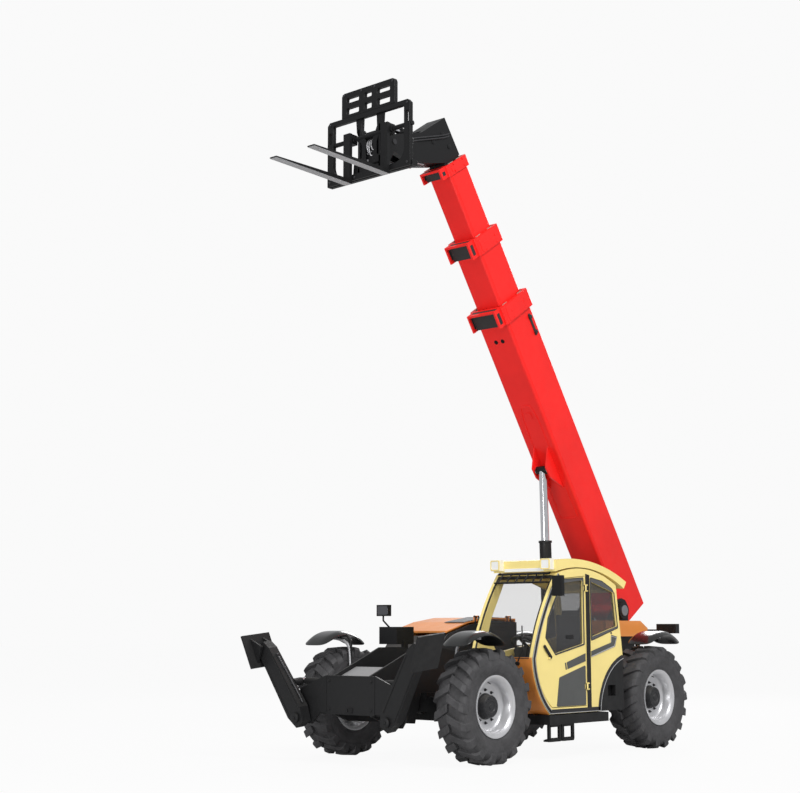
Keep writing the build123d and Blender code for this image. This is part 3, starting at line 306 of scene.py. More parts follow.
def glass(name, tint, see_through):
    """Window glass, tinted: part of the light goes straight through, the rest is a dark gloss."""
    material, tree, shader, where = finish_base(name)
    shader.inputs["Base Color"].default_value = (*tint, 1)
    tree.links.new(ramp(tree, noise(tree, where, 3.0), [(0.35, grey(0.03)), (0.8, grey(0.10))]),
                   shader.inputs["Roughness"])
    shader.inputs["Alpha"].default_value = 1 - see_through
    shader.inputs["Specular IOR Level"].default_value = 0.7
    return material


smoked_glass = glass("smoked_glass", (0.050, 0.050, 0.052), 0.42)
clear_glass = glass("clear_glass", (0.10, 0.10, 0.10), 0.93)
glass_border = paint("glass_border_grey", (0.085, 0.085, 0.088), 0.15, coat=0.4, dust=0.0)
hub_charcoal = paint("hub_charcoal_paint", (0.024, 0.024, 0.026), 0.42, dust=0.2)
dark_steel = paint("dark_steel", (0.055, 0.055, 0.058), 0.40, metallic=0.6, dust=0.1)
trim_charcoal = paint("trim_charcoal_paint", (0.022, 0.022, 0.024), 0.45, dust=0.1)
piping_silver = paint("piping_silver_paint", (0.50, 0.50, 0.51), 0.35, metallic=0.3, dust=0.05)
panel_dark = paint("panel_grey_paint", (0.082, 0.085, 0.083), 0.42, dust=0.05)
cover_grey = paint("cover_grey_paint", (0.26, 0.26, 0.265), 0.45, dust=0.1)
# Dark steel of the hose bracket; the same dark also paints the shade inside the open collar brackets.
boom_dark_steel_and_shade = paint("boom_dark_steel_and_cell_shade", (0.030, 0.028, 0.028), 0.5, dust=0.1)
bracket_silver = paint("bracket_silver_paint", (0.42, 0.42, 0.43), 0.38, metallic=0.4, dust=0.05)
hose_silver = paint("hose_silver_sleeve", (0.45, 0.45, 0.46), 0.35, metallic=0.5, dust=0.05)
pad_nylon = paint("wear_pad_nylon", (0.30, 0.28, 0.24), 0.6, dust=0.05)
port_black = paint("port_shadow", (0.006, 0.005, 0.005), 0.8, dust=0.0)
lens_clear = paint("lamp_lens_white", (0.88, 0.88, 0.86), 0.12, coat=0.8, dust=0.0)
lens_red = paint("lamp_lens_red", (0.33, 0.012, 0.012), 0.15, coat=0.8, dust=0.0)
mirror_glass = metal("mirror_glass", (0.16, 0.16, 0.17), 0.08)

# %% [markdown]
# Every carried-over piece of the frame gets its finish through its own material slots. A table of finish to nodes
# keeps that in one place, and a check at the end names any node that was missed.

# %% Finishes of the frame's own pieces
node_finish = {}


def dress(material, *names):
    for name in names:
        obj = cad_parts[name]
        if not obj.material_slots:
            obj.data.materials.append(material)
        for slot in obj.material_slots:
            slot.material = material
        node_finish[name] = material.name


HANDS = {"left": 1, "right": -1}
dress(boom_paint, "boom_outer", "boom_second", "boom_third")
dress(cab_paint, "cab_shell", "cab_roof", "door_panel")
dress(hood_paint, "hood_lid", "rear_cowl")
dress(chassis_paint, "chassis_plate_left", "chassis_plate_right", "cross_members", "front_frame", "side_sill",
      "fuel_tank", "front_axle", "rear_axle", "lift_barrel", "lift_sleeve", *[f"stabiliser_leg_{s}" for s in HANDS],
      *[f"stabiliser_barrel_{s}" for s in HANDS], *[f"knuckle_{w}" for w in WHEELS])
dress(carriage_paint, "boom_head", "fork_carriage", "tilt_barrel", "mirror_left", "mirror_right", "roof_guard")
dress(bay_paint, "engine_bay")
dress(engine_iron, "engine_block")
dress(steel, "boom_pivot_pin")
dress(dark_steel, "fork_pin")
dress(carriage_paint, "forks")
dress(chrome, "lift_rod", "tilt_rod", *[f"stabiliser_rod_{s}" for s in HANDS])
dress(smoked_glass, "cab_glass", "door_glass")
dress(seat_black, "seat")
dress(plastic_black, "dashboard", "rear_lights")
dress(lamp_housing, "work_lamps")
dress(tyre_rubber, *[f"tyre_{w}" for w in WHEELS])
dress(rim_silver, *[f"rim_{w}" for w in WHEELS])
dress(mudguard_black, *[f"mudguard_{w}" for w in WHEELS])
print("nodes without a finish:", sorted(set(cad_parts) - set(node_finish)))

# %% [markdown]
# Detail is built from a few simple makers. An outline is a list of flat points, `slab` gives it thickness, `turn`
# spins a profile round a line, and `hose` lays a smooth tube through loose points. `piece` makes an object of the
# mesh, rounds its edges so that they catch light, and lets it ride on the body that carries it.


def finished(obj, material, body):
    obj.data.materials.append(material)
    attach(obj, body)
    return obj


def piece(name, bm, material, body, bevel=0.0, angle=35):
    """Makes an object of a bmesh, with rounded edges where a bevel is asked for."""
    bmesh.ops.recalc_face_normals(bm, faces=bm.faces[:])
    mesh = bpy.data.meshes.new(name)
    bm.to_mesh(mesh)
    bm.free()
    obj = bpy.data.objects.new(name, mesh)
    bpy.context.collection.objects.link(obj)
    mesh.shade_smooth()
    if bevel:
        rounding = obj.modifiers.new("rounded", "BEVEL")
        rounding.affect = "EDGES"
        rounding.width = bevel
        rounding.segments = 2
        rounding.profile = 0.5
        rounding.material = -1
        rounding.angle_limit = radians(angle)
        rounding.harden_normals = True
    else:
        mesh.set_sharp_from_angle(angle=radians(angle))
    return finished(obj, material, body)


def slab(bm, points, across):
    """A plate: the outline through the points, made as thick as the vector across."""
    near = [bm.verts.new(point) for point in points]
    far = [bm.verts.new(Vector(point) + Vector(across)) for point in points]
    bm.faces.new(near)
    bm.faces.new(list(reversed(far)))
    for a, b, c, d in zip(near, near[1:] + near[:1], far[1:] + far[:1], far):
        bm.faces.new((a, d, c, b))


def side_slab(bm, outline, y0, y1):
    slab(bm, [at(x, y0, z) for x, z in outline], (0, y1 - y0, 0))


def front_slab(bm, outline, x0, x1):
    slab(bm, [at(x0, y, z) for y, z in outline], (x1 - x0, 0, 0))


def rounded(outline, radius, steps=4):
    """The outline with each corner turned into an arc."""
    points = []
    count = len(outline)
    for number, corner in enumerate(outline):
        here = Vector(corner)
        back = Vector(outline[number - 1]) - here
        ahead = Vector(outline[(number + 1) % count]) - here
        half = back.angle(ahead) / 2
        reach = min(radius / max(sin(half) / cos(half), 0.05), back.length * 0.48, ahead.length * 0.48)
        start = here + back.normalized() * reach
        end = here + ahead.normalized() * reach
        for step in range(steps + 1):
            t = step / steps
            points.append(tuple((1 - t) ** 2 * start + 2 * t * (1 - t) * here + t ** 2 * end))
    return points


def box_outline(one, two, radius=0.0):
    """The outline of a box between two pairs of limits, with round corners where a radius is asked for."""
    points = [(one[0], two[0]), (one[1], two[0]), (one[1], two[1]), (one[0], two[1])]
    return rounded(points, radius) if radius else points


def brick(bm, x, y, z):
    front_slab(bm, box_outline(y, z), x[0], x[1])


def mirrored(hand, near, far):
    """Two limits across the machine, put on the side that the hand says, smaller first."""
    return sorted((hand * near, hand * far))


def inset(outline, distance):
    """The outline moved inwards by a distance, corner by corner."""
    count = len(outline)
    area = sum(outline[i - 1][0] * outline[i][1] - outline[i][0] * outline[i - 1][1] for i in range(count))
    hand = 1 if area > 0 else -1
    moved = []
    for number in range(count):
        before, here, after = (Vector(outline[(number + k) % count]) for k in (-1, 0, 1))
        first = (here - before).normalized()
        second = (after - here).normalized()
        normal = Vector((-first.y - second.y, first.x + second.x)) * hand
        stretch = max(0.35, (1 + first.dot(second)) / 2)
        moved.append(tuple(here + normal / 2 * distance / stretch))
    return moved


def band(bm, outline, width, place, across):
    """A flat strip along the inside of a closed outline. place turns an outline point into a point in space."""
    loops = []
    for points, lift in ((outline, 0), (inset(outline, width), 0), (inset(outline, width), 1), (outline, 1)):
        loops.append([bm.verts.new(place(*point) + Vector(across) * lift) for point in points])
    for one, other in zip(loops, loops[1:] + loops[:1]):
        for a, b, c, d in zip(one, one[1:] + one[:1], other[1:] + other[:1], other):
            bm.faces.new((a, b, c, d))


def side_band(bm, outline, width, y0, y1):
    band(bm, outline, width, lambda x, z: at(x, y0, z), (0, y1 - y0, 0))


def front_band(bm, outline, width, x0, x1):
    band(bm, outline, width, lambda y, z: at(x0, y, z), (x1 - x0, 0, 0))


def pierced(bm, outline, holes, place, across):
    """A plate with holes, as one closed mesh. place turns an outline point into a point in space."""
    rings = []
    for lift in (0, 1):
        layer = [[bm.verts.new(place(*point) + Vector(across) * lift) for point in points]
                 for points in (outline, *holes)]
        edges = [bm.edges.new(pair) for ring in layer for pair in zip(ring, ring[1:] + ring[:1])]
        bmesh.ops.triangle_fill(bm, edges=edges, use_beauty=True)
        rings.append(layer)
    for low, high in zip(*rings):
        for a, b, c, d in zip(low, low[1:] + low[:1], high[1:] + high[:1], high):
            bm.faces.new((a, b, c, d))


def on_side(y):
    return lambda x, z: at(x, y, z)


def on_front(x):
    return lambda y, z: at(x, y, z)


def turn(bm, profile, start, axis, steps=48, closed=False):
    """Spins a profile of (along, radius) points round the line through start. An open end of radius 0 is a pole."""
    axis = Vector(axis).normalized()
    one = axis.orthogonal().normalized()
    other = axis.cross(one)
    rings = []
    for along, radius in profile:
        centre = Vector(start) + axis * along
        if radius == 0:
            rings.append([bm.verts.new(centre)])
            continue
        ring = []
        for step in range(steps):
            angle = 2 * pi * step / steps
            ring.append(bm.verts.new(centre + (one * cos(angle) + other * sin(angle)) * radius))
        rings.append(ring)
    pairs = list(zip(rings, rings[1:])) + ([(rings[-1], rings[0])] if closed else [])
    for low, high in pairs:
        for step in range(steps):
            after = (step + 1) % steps
            corners = [low[0] if len(low) == 1 else low[step], low[0] if len(low) == 1 else low[after],
                       high[0] if len(high) == 1 else high[after], high[0] if len(high) == 1 else high[step]]
            unique = list(dict.fromkeys(corners))
            if len(unique) > 2:
                bm.faces.new(unique)


def rod(bm, start, end, radius, steps=24):
    start, end = Vector(start), Vector(end)
    length = (end - start).length
    turn(bm, [(0, 0), (0, radius), (length, radius), (length, 0)], start, end - start, steps)


def bolt(bm, centre, axis, radius=0.012, height=0.010):
    """A hexagon head on a washer."""
    centre, axis = Vector(centre), Vector(axis).normalized()
    turn(bm, [(0, 0), (0, radius * 1.35), (height * 0.2, radius * 1.35), (height * 0.2, 0)], centre, axis, 16)
    turn(bm, [(0, 0), (0, radius), (height * 0.8, radius), (height, radius * 0.86), (height, 0)], centre, axis, 6)


def hose(name, points, radius, material, body):
    """A hydraulic hose or bent tube through loose points."""
    curve = bpy.data.curves.new(name, "CURVE")
    curve.dimensions = "3D"
    curve.bevel_depth = radius
    curve.bevel_resolution = 3
    curve.use_fill_caps = True
    curve.resolution_u = 8
    spline = curve.splines.new("NURBS")
    spline.points.add(len(points) - 1)
    for spot, point in zip(spline.points, points):
        spot.co = (*point, 1)
    spline.order_u = 4
    spline.use_endpoint_u = True
    obj = bpy.data.objects.new(name, curve)
    bpy.context.collection.objects.link(obj)
    return finished(obj, material, body)

# %% [markdown]
# The tyres carry most of the machine's character. Each is a turned casing with a bulging, ribbed side wall and two
# rows of slanted lugs, one row half a pitch ahead of the other. A lug is drawn as a section that leans along the
# tread, and all its edges are rounded, because rubber has no sharp ones.

# %% Tyres
TYRE_RADIUS = AXLE_Z
LUGS = 18
LUG_WIDTH = 0.084
LUG_LEAN = sin(radians(27)) / cos(radians(27))
LUG_SECTION = [(-0.006, -0.066), (-0.006, 0.0), (0.02, 0.0), (0.06, -0.004), (0.164, -0.014), (0.198, -0.045),
               (0.198, -0.128)]
CASING = [(0.0, 0.557), (0.12, 0.556), (0.15, 0.550), (0.172, 0.537), (0.186, 0.520), (0.193, 0.500),
          (0.1955, 0.478), (0.1935, 0.470), (0.1955, 0.462), (0.196, 0.435), (0.194, 0.408), (0.1905, 0.402),
          (0.1905, 0.394), (0.187, 0.386), (0.180, 0.360), (0.176, 0.350), (0.172, 0.346), (0.168, 0.338),
          (0.161, 0.324), (0.160, 0.306), (0.160, 0.2915)]


def tyre_mesh():
    """Casing and lugs about the origin, axle along Y."""
    bm = bmesh.new()
    profile = CASING + [(-along, radius) for along, radius in reversed(CASING[1:])]
    turn(bm, profile, (0, 0, 0), (0, 1, 0), 108, closed=True)
    for hand in (1, -1):
        for number in range(LUGS):
            spot = Matrix.Rotation(2 * pi * (number + (0.5 if hand < 0 else 0)) / LUGS, 4, "Y")
            points = [spot @ Vector((y * LUG_LEAN - LUG_WIDTH / 2, hand * y, TYRE_RADIUS + drop))
                      for y, drop in LUG_SECTION]
            slab(bm, points, spot @ Vector((LUG_WIDTH, 0, 0)))
    return bm


def wheel_place(wheel):
    """Where a wheel's middle is, and which way it faces."""
    low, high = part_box(f"tyre_{wheel}")
    centre = [(a + b) / 2 for a, b in zip(low, high)]
    facing = Matrix.Diagonal((1 if "front" in wheel else -1, 1 if "left" in wheel else -1, 1, 1))
    return Matrix.Translation((centre[0], centre[1], AXLE_Z)) @ facing


for wheel in WHEELS:
    bm = tyre_mesh()
    bmesh.ops.transform(bm, matrix=wheel_place(wheel), verts=bm.verts[:])
    tyre = piece(f"tyre_detail_{wheel}", bm, tyre_rubber, f"wheel_{wheel}", bevel=0.007)
    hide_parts(f"tyre_{wheel}")

# %% [markdown]
# A silver rim shows as a bright outer flange, a cone behind it and a flat disc deep inside. The hub that fills its
# middle is dark and stands out almost to the flange, with the wheel's nuts in a ring round it.

# %% Rims and hubs
RIM = [(-0.172, 0.320), (-0.160, 0.320), (-0.160, 0.290), (0.160, 0.290), (0.160, 0.320), (0.171, 0.320),
       (0.1715, 0.313), (0.166, 0.302), (0.150, 0.276), (0.132, 0.264), (0.066, 0.258), (0.044, 0.248),
       (0.032, 0.226), (0.027, 0.205), (0.024, 0.110), (0.010, 0.110), (0.010, 0.220), (0.020, 0.262),
       (-0.04, 0.276), (-0.158, 0.278), (-0.172, 0.300)]
HUB = [(-0.066, 0.071), (-0.066, 0.112), (0.020, 0.122), (0.024, 0.134), (0.034, 0.134), (0.038, 0.121),
       (0.094, 0.118), (0.108, 0.108), (0.110, 0.060), (0.104, 0.054), (0.104, 0.030), (0.110, 0.026), (0.110, 0.0)]

for wheel in WHEELS:
    place = wheel_place(wheel)
    bm = bmesh.new()
    turn(bm, RIM, (0, 0, 0), (0, 1, 0), 96, closed=True)
    bmesh.ops.transform(bm, matrix=place, verts=bm.verts[:])
    rim = piece(f"rim_detail_{wheel}", bm, rim_silver, f"wheel_{wheel}", angle=40)
    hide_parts(f"rim_{wheel}")
    bm = bmesh.new()
    turn(bm, HUB, (0, 0, 0), (0, 1, 0), 64)
    for number in range(12):
        angle = 2 * pi * number / 12
        bolt(bm, (0.088 * cos(angle), 0.108, 0.088 * sin(angle)), (0, 1, 0), 0.007, 0.006)
    bmesh.ops.transform(bm, matrix=place, verts=bm.verts[:])
    piece(f"hub_{wheel}", bm, hub_charcoal, f"wheel_{wheel}", angle=40)
    bm = bmesh.new()
    for number in range(10):
        angle = 2 * pi * (number + 0.5) / 10
        spot = Vector((0.168 * cos(angle), 0.0255, 0.168 * sin(angle)))
        bolt(bm, spot, (0, 1, 0), 0.0125, 0.016)
        turn(bm, [(0.015, 0.006), (0.027, 0.006), (0.027, 0.0)], spot, (0, 1, 0), 12)
    valve = Vector((0, 0.05, 0.250))
    rod(bm, valve, valve + Vector((0, 0.05, -0.02)), 0.005, 12)
    bmesh.ops.transform(bm, matrix=place, verts=bm.verts[:])
    piece(f"wheel_nuts_{wheel}", bm, dark_steel, f"wheel_{wheel}")

# %% [markdown]
# Each mudguard is a crowned cap, not a bent sheet: it falls away to all its edges, its corners are round, and its rim
# turns down. A grid is shaped by a formula and then smoothed.

# %% Mudguards


def mudguard_surface(bm, low, high, crown=0.016):
    """A crowned cap that fills the box between two corners."""
    along, across = 14, 8
    rows = []
    for i in range(along + 1):
        u = 2 * i / along - 1
        row = []
        for j in range(across + 1):
            v = 2 * j / across - 1
            square = (abs(u) ** 5 + abs(v) ** 5) ** 0.2 if (u or v) else 1
            shrink = max(abs(u), abs(v)) / square if square else 1
            x = (low[0] + high[0]) / 2 + u * shrink * (high[0] - low[0]) / 2
            y = (low[1] + high[1]) / 2 + v * shrink * (high[1] - low[1]) / 2
            edge = max(abs(u), abs(v))
            arch = (u * shrink) ** 2 * 0.132 + (v * shrink) ** 4 * crown
            lip = 0.034 if edge > 0.99 else (0.010 if edge > 0.8 else 0)
            row.append(bm.verts.new((x, y, high[2] - arch - lip * (1 - 0.12 * u * u))))
        rows.append(row)
    for one, other in zip(rows, rows[1:]):
        for a, b, c, d in zip(one, one[1:], other[1:], other):
            bm.faces.new((a, d, c, b))


for wheel in WHEELS:
    low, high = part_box(f"mudguard_{wheel}")
    bm = bmesh.new()
    mudguard_surface(bm, low, (high[0], high[1], high[2] - 0.001))
    guard = piece(f"mudguard_detail_{wheel}", bm, mudguard_black, f"steer_{wheel}", angle=180)
    thick = guard.modifiers.new("thickness", "SOLIDIFY")
    thick.thickness = 0.007
    thick.offset = -1
    smooth = guard.modifiers.new("smooth", "SUBSURF")
    smooth.levels = 2
    smooth.render_levels = 2
    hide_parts(f"mudguard_{wheel}")

# %% [markdown]
# The cab is yellow panels between dark lines. A charcoal band follows the front seam down from the roof, under the
# door and over the rear wheel, and a black seal runs round the windscreen and the left windows. The side outline is
# three arcs, so the trim walks along the same arcs instead of along copied points.

# %% Cab outline


def arc(start, middle, end, steps=12):
    """Points of the arc through three flat points."""
    (x1, y1), (x2, y2), (x3, y3) = start, middle, end
    d = 2 * (x1 * (y2 - y3) + x2 * (y3 - y1) + x3 * (y1 - y2))
    cx = ((x1 * x1 + y1 * y1) * (y2 - y3) + (x2 * x2 + y2 * y2) * (y3 - y1) + (x3 * x3 + y3 * y3) * (y1 - y2)) / d
    cy = ((x1 * x1 + y1 * y1) * (x3 - x2) + (x2 * x2 + y2 * y2) * (x1 - x3) + (x3 * x3 + y3 * y3) * (x2 - x1)) / d
    first, turned_by = Vector((x1 - cx, y1 - cy)), Vector((x3 - cx, y3 - cy))
    swing = -first.angle_signed(turned_by)
    points = []
    for step in range(steps + 1):
        angle = swing * step / steps
        points.append((cx + first.x * cos(angle) - first.y * sin(angle),
                       cy + first.x * sin(angle) + first.y * cos(angle)))
    return points


CAB_IN, CAB_OUT = 0.300, 1.150
FRONT_EDGE = arc((-0.939, 0.480), (-0.712, 0.780), (-0.643, 1.072), 10)
FRONT_EDGE += arc((-0.643, 1.072), (-0.800, 1.490), (-1.124, 1.996), 16)[1:]
ARCH_EDGE = arc((-2.355, 1.049), (-2.080, 0.890), (-1.895, 0.480), 14)
DOOR_WINDOW = [(-0.890, 1.300), (-1.060, 1.120), (-1.585, 1.225), (-1.585, 1.925), (-1.195, 1.885), (-0.950, 1.500)]
SIDE_WINDOW = [(-1.745, 1.300), (-2.250, 1.420), (-2.190, 1.800), (-1.745, 1.915)]


def moved_line(line, distance):
    """An open line moved sideways, to the left of its direction."""
    moved = []
    for number, point in enumerate(line):
        before, after = Vector(line[max(number - 1, 0)]), Vector(line[min(number + 1, len(line) - 1)])
        along = (after - before).normalized()
        moved.append((point[0] - along.y * distance, point[1] + along.x * distance))
    return moved


def strip(bm, line, width, y0, y1, start=0.0):
    """A flat strip or a bent pane, between two lines parallel to an open one and two sides."""
    one, other = moved_line(line, start), moved_line(line, start + width)
    loops = []
    for points, y in ((one, y0), (other, y0), (other, y1), (one, y1)):
        loops.append([bm.verts.new(at(x, y, z)) for x, z in points])
    for first, second in zip(loops, loops[1:] + loops[:1]):
        for a, b, c, d in zip(first, first[1:], second[1:], second):
            bm.faces.new((a, b, c, d))
    for end in (0, -1):
        bm.faces.new([loop[end] for loop in loops])


# %% [markdown]
# Trim on the fixed wall and on the door leaf lies on two planes a few millimetres apart, so the door can swing out
# from between the fixed pieces.

# %% Bands, pillar and panels of the cab's left side
SILL_LINE = [(-0.948, 0.484), (-1.895, 0.484)]
SKIN = (CAB_OUT - 0.001, CAB_OUT + 0.005)
LEAF = (CAB_OUT + 0.001, CAB_OUT + 0.007)
PIPING = (SKIN[1] - 0.001, SKIN[1] + 0.004)
STRIPE_EDGE = (SKIN[1] - 0.001, SKIN[1] + 0.002)

bm = bmesh.new()
strip(bm, FRONT_EDGE, 0.050, *SKIN, start=0.004)
strip(bm, SILL_LINE, -0.046, *SKIN)
strip(bm, ARCH_EDGE, 0.046, *SKIN, start=0.004)
piece("cab_side_band", bm, trim_charcoal, "chassis", bevel=0.002)

bm = bmesh.new()
strip(bm, FRONT_EDGE, 0.006, *PIPING, start=0.004)
strip(bm, FRONT_EDGE, 0.005, SKIN[1] - 0.001, SKIN[1] + 0.003, start=0.050)
strip(bm, SILL_LINE, -0.006, *PIPING)
strip(bm, ARCH_EDGE, 0.006, *PIPING, start=0.004)
piece("cab_piping", bm, piping_silver, "chassis")

bm = bmesh.new()
side_slab(bm, [(-1.641, 0.530), (-1.716, 0.530), (-1.716, 1.985), (-1.641, 1.998)], *SKIN)
piece("cab_pillar_black", bm, plastic_black, "chassis", bevel=0.002)

bm = bmesh.new()
side_slab(bm, rounded([(-1.066, 0.556), (-1.610, 0.556), (-1.610, 0.990), (-1.120, 0.866)], 0.02), *LEAF)
piece("door_lower_panel", bm, panel_dark, "door", bevel=0.002)

bm = bmesh.new()
side_slab(bm, [(-1.275, 0.952), (-1.612, 1.034), (-1.612, 1.120), (-1.262, 1.026)], *LEAF)
side_slab(bm, [(-1.240, 0.948), (-1.258, 0.948), (-1.246, 1.022), (-1.228, 1.022)], *LEAF)
piece("door_stripe", bm, panel_dark, "door", bevel=0.001)
bm = bmesh.new()
side_slab(bm, [(-1.728, 1.075), (-2.196, 1.190), (-2.240, 1.300), (-2.128, 1.322), (-2.122, 1.236),
               (-1.728, 1.142)], *SKIN)
side_slab(bm, box_outline((-2.112, -2.140), (1.330, 1.352), 0.012), *SKIN)
piece("cab_stripe", bm, panel_dark, "chassis", bevel=0.001)
bm = bmesh.new()
strip(bm, [(-1.728, 1.078), (-2.190, 1.192)], -0.010, *STRIPE_EDGE)
strip(bm, [(-2.112, 1.240), (-2.118, 1.312), (-2.228, 1.292), (-2.188, 1.200)], 0.007, *STRIPE_EDGE)
piece("cab_stripe_edge", bm, piping_silver, "chassis")

# %% [markdown]
# Rubber seals frame the windscreen and the left side's windows. The door's seal rides on the door and the others on
# the body. The left panes are smoked and the others almost clear, so the panes are made one by one.

# %% Seals and panes
DOOR_BORDER = [(-0.880, 1.292), (-1.058, 1.104), (-1.601, 1.212), (-1.601, 1.958), (-1.205, 1.930), (-1.029, 1.666),
               (-0.925, 1.500)]
SIDE_BORDER = [(-1.727, 1.253), (-2.266, 1.396), (-2.205, 1.790), (-2.150, 1.850), (-1.960, 1.928), (-1.727, 1.962)]
bm = bmesh.new()
pierced(bm, rounded(DOOR_BORDER, 0.02), [rounded(DOOR_WINDOW, 0.02)], on_side(LEAF[0]), (0, 0.004, 0))
piece("door_window_border", bm, glass_border, "door")
bm = bmesh.new()
side_band(bm, rounded(DOOR_BORDER, 0.02), 0.008, LEAF[0], LEAF[1])
piece("door_window_seal", bm, seal_rubber, "door", bevel=0.001)
bm = bmesh.new()
pierced(bm, rounded(SIDE_BORDER, 0.02), [rounded(SIDE_WINDOW, 0.02)], on_side(CAB_OUT - 0.0005), (0, 0.004, 0))
piece("side_window_border", bm, glass_border, "chassis")
bm = bmesh.new()
side_band(bm, rounded(SIDE_BORDER, 0.02), 0.008, *SKIN)
piece("side_window_seal", bm, seal_rubber, "chassis", bevel=0.001)


def screen_line(low, high, inward):
    """The windscreen's line between two heights, moved in from the cab's front edge."""
    line = moved_line(FRONT_EDGE, inward)
    picked = []
    for (x0, z0), (x1, z1) in zip(line, line[1:]):
        for height in (low, high):
            if z0 < height <= z1:
                picked.append((x0 + (x1 - x0) * (height - z0) / (z1 - z0), height))
        if low < z1 < high:
            picked.append((x1, z1))
    return sorted(picked, key=lambda point: point[1])


bm = bmesh.new()
strip(bm, screen_line(1.092, 1.948, 0.016), 0.006, CAB_IN + 0.050, CAB_OUT - 0.050)
screen = piece("windscreen", bm, clear_glass, "chassis")
bm = bmesh.new()
side_slab(bm, SIDE_WINDOW, CAB_OUT - 0.026, CAB_OUT - 0.020)
quarter = piece("quarter_pane", bm, smoked_glass, "chassis")
bm = bmesh.new()
side_slab(bm, [(-0.900, 1.330), (-1.060, 1.120), (-2.230, 1.300), (-2.180, 1.800), (-1.700, 1.930), (-1.190, 1.890),
               (-0.960, 1.500)], CAB_IN + 0.020, CAB_IN + 0.026)
right_pane = piece("right_pane", bm, clear_glass, "chassis")
bm = bmesh.new()
rear_line = [(-2.300, 1.330), (-2.236, 1.800)]
strip(bm, rear_line, 0.006, CAB_IN + 0.055, CAB_OUT - 0.055)
rear_pane = piece("rear_pane", bm, clear_glass, "chassis")
for pane in (screen, quarter, right_pane, rear_pane):
    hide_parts("cab_glass")

bm = bmesh.new()
for y in (CAB_IN + 0.040, CAB_OUT - 0.058):
    strip(bm, screen_line(1.075, 1.965, -0.002), 0.012, y, y + 0.018)
for low, high in ((1.070, 1.095), (1.940, 1.972)):
    strip(bm, screen_line(low, high, -0.002), 0.012, CAB_IN + 0.040, CAB_OUT - 0.040)
piece("windscreen_seal", bm, seal_rubber, "chassis", bevel=0.002)

# %% [markdown]
# Below the windscreen the cab's front is an orange skin. A ladder of bars guards the top of the screen, and the wiper
# stands near its outer edge.

# %% Front skin, wiper, guard ladder
SKIN_LIFT = -0.004
bm = bmesh.new()
low_line = [point for point in moved_line(FRONT_EDGE, SKIN_LIFT) if point[1] < 1.072]
low_line.append(screen_line(1.085, 1.090, SKIN_LIFT)[0])
strip(bm, low_line, 0.004, CAB_IN + 0.004, CAB_OUT - 0.004)
piece("cab_front_skin", bm, hood_paint, "chassis", bevel=0.0015)

GUARD_TOP, GUARD_LOW = (-1.064, 1.990), (-0.992, 1.893)
bm = bmesh.new()
for x, z in (GUARD_TOP, GUARD_LOW):
    rod(bm, at(x, CAB_IN + 0.070, z), at(x, CAB_OUT - 0.070, z), 0.011, 14)
for y in (0.44, 0.56, 0.68, 0.80, 0.92, 1.02):
    rod(bm, at(GUARD_TOP[0], y, GUARD_TOP[1]), at(GUARD_LOW[0], y - 0.02, GUARD_LOW[1]), 0.008, 12)
for y in (CAB_IN + 0.075, CAB_OUT - 0.075):
    rod(bm, at(GUARD_TOP[0], y, GUARD_TOP[1]), at(-1.120, y, 2.030), 0.009, 12)
    rod(bm, at(GUARD_LOW[0], y, GUARD_LOW[1]), at(-1.070, y, GUARD_LOW[1]), 0.009, 12)
piece("screen_guard", bm, plastic_black, "chassis")


def front_x(height):
    """X of the point of the cab's front edge that lies nearest to a height."""
    return min(FRONT_EDGE, key=lambda spot: abs(spot[1] - height))[0]


bm = bmesh.new()
wiper = [(0.960, 1.020), (1.010, 1.180), (0.930, 1.420)]
for (y0, z0), (y1, z1) in zip(wiper, wiper[1:]):
    rod(bm, at(front_x(z0) + 0.018, y0, z0), at(front_x(z1) + 0.018, y1, z1), 0.007, 10)
front_at = front_x(1.02)
rod(bm, at(front_at - 0.02, 0.960, 1.020), at(front_at + 0.030, 0.960, 1.020), 0.022, 20)
piece("wiper", bm, plastic_black, "chassis")

# %% [markdown]
# A pale strip runs across the roof's front, a work lamp sits at each of its front corners, and two loops of flat bar
# with gripping ribs make the steps under the door.

# %% Roof strip, steps and work lamps
LAMPS_Y = (CAB_IN + 0.010, CAB_OUT - 0.140)
LAMP_X = -1.002
bm = bmesh.new()
front_slab(bm, box_outline((CAB_IN + 0.150, CAB_OUT - 0.150), (2.016, 2.052), 0.012), -1.077, -1.070)
piece("roof_front_strip", bm, lens_clear, "chassis", bevel=0.002)
bm = bmesh.new()
for low_x in (-1.370, -1.130):
    side_band(bm, box_outline((low_x - 0.013, low_x + 0.213), (0.190, 0.384), 0.03), 0.040, 1.128, 1.153)
    brick(bm, (low_x + 0.006, low_x + 0.194), (1.068, 1.157), (0.1895, 0.211))
    for y in (1.082, 1.104, 1.126, 1.148):
        brick(bm, (low_x + 0.020, low_x + 0.180), (y - 0.004, y + 0.004), (0.210, 0.217))
piece("step_loops", bm, carriage_paint, "chassis", bevel=0.002)
bm = bmesh.new()
for low_y in LAMPS_Y:
    front_slab(bm, box_outline((low_y + 0.014, low_y + 0.116), (2.044, 2.138), 0.014), LAMP_X, -0.994)
piece("work_lamp_lens", bm, lens_clear, "chassis", bevel=0.002)
bm = bmesh.new()
for low_y in LAMPS_Y:
    front_band(bm, box_outline((low_y + 0.002, low_y + 0.128), (2.032, 2.148), 0.02), 0.012, LAMP_X, -0.9905)
piece("work_lamp_rim", bm, cab_paint, "chassis", bevel=0.0015)

# %% [markdown]
# Small black mouldings finish the door: a latch at its front edge, the window's catch and the covers of the hinges.
# The mirrors get a bright face.

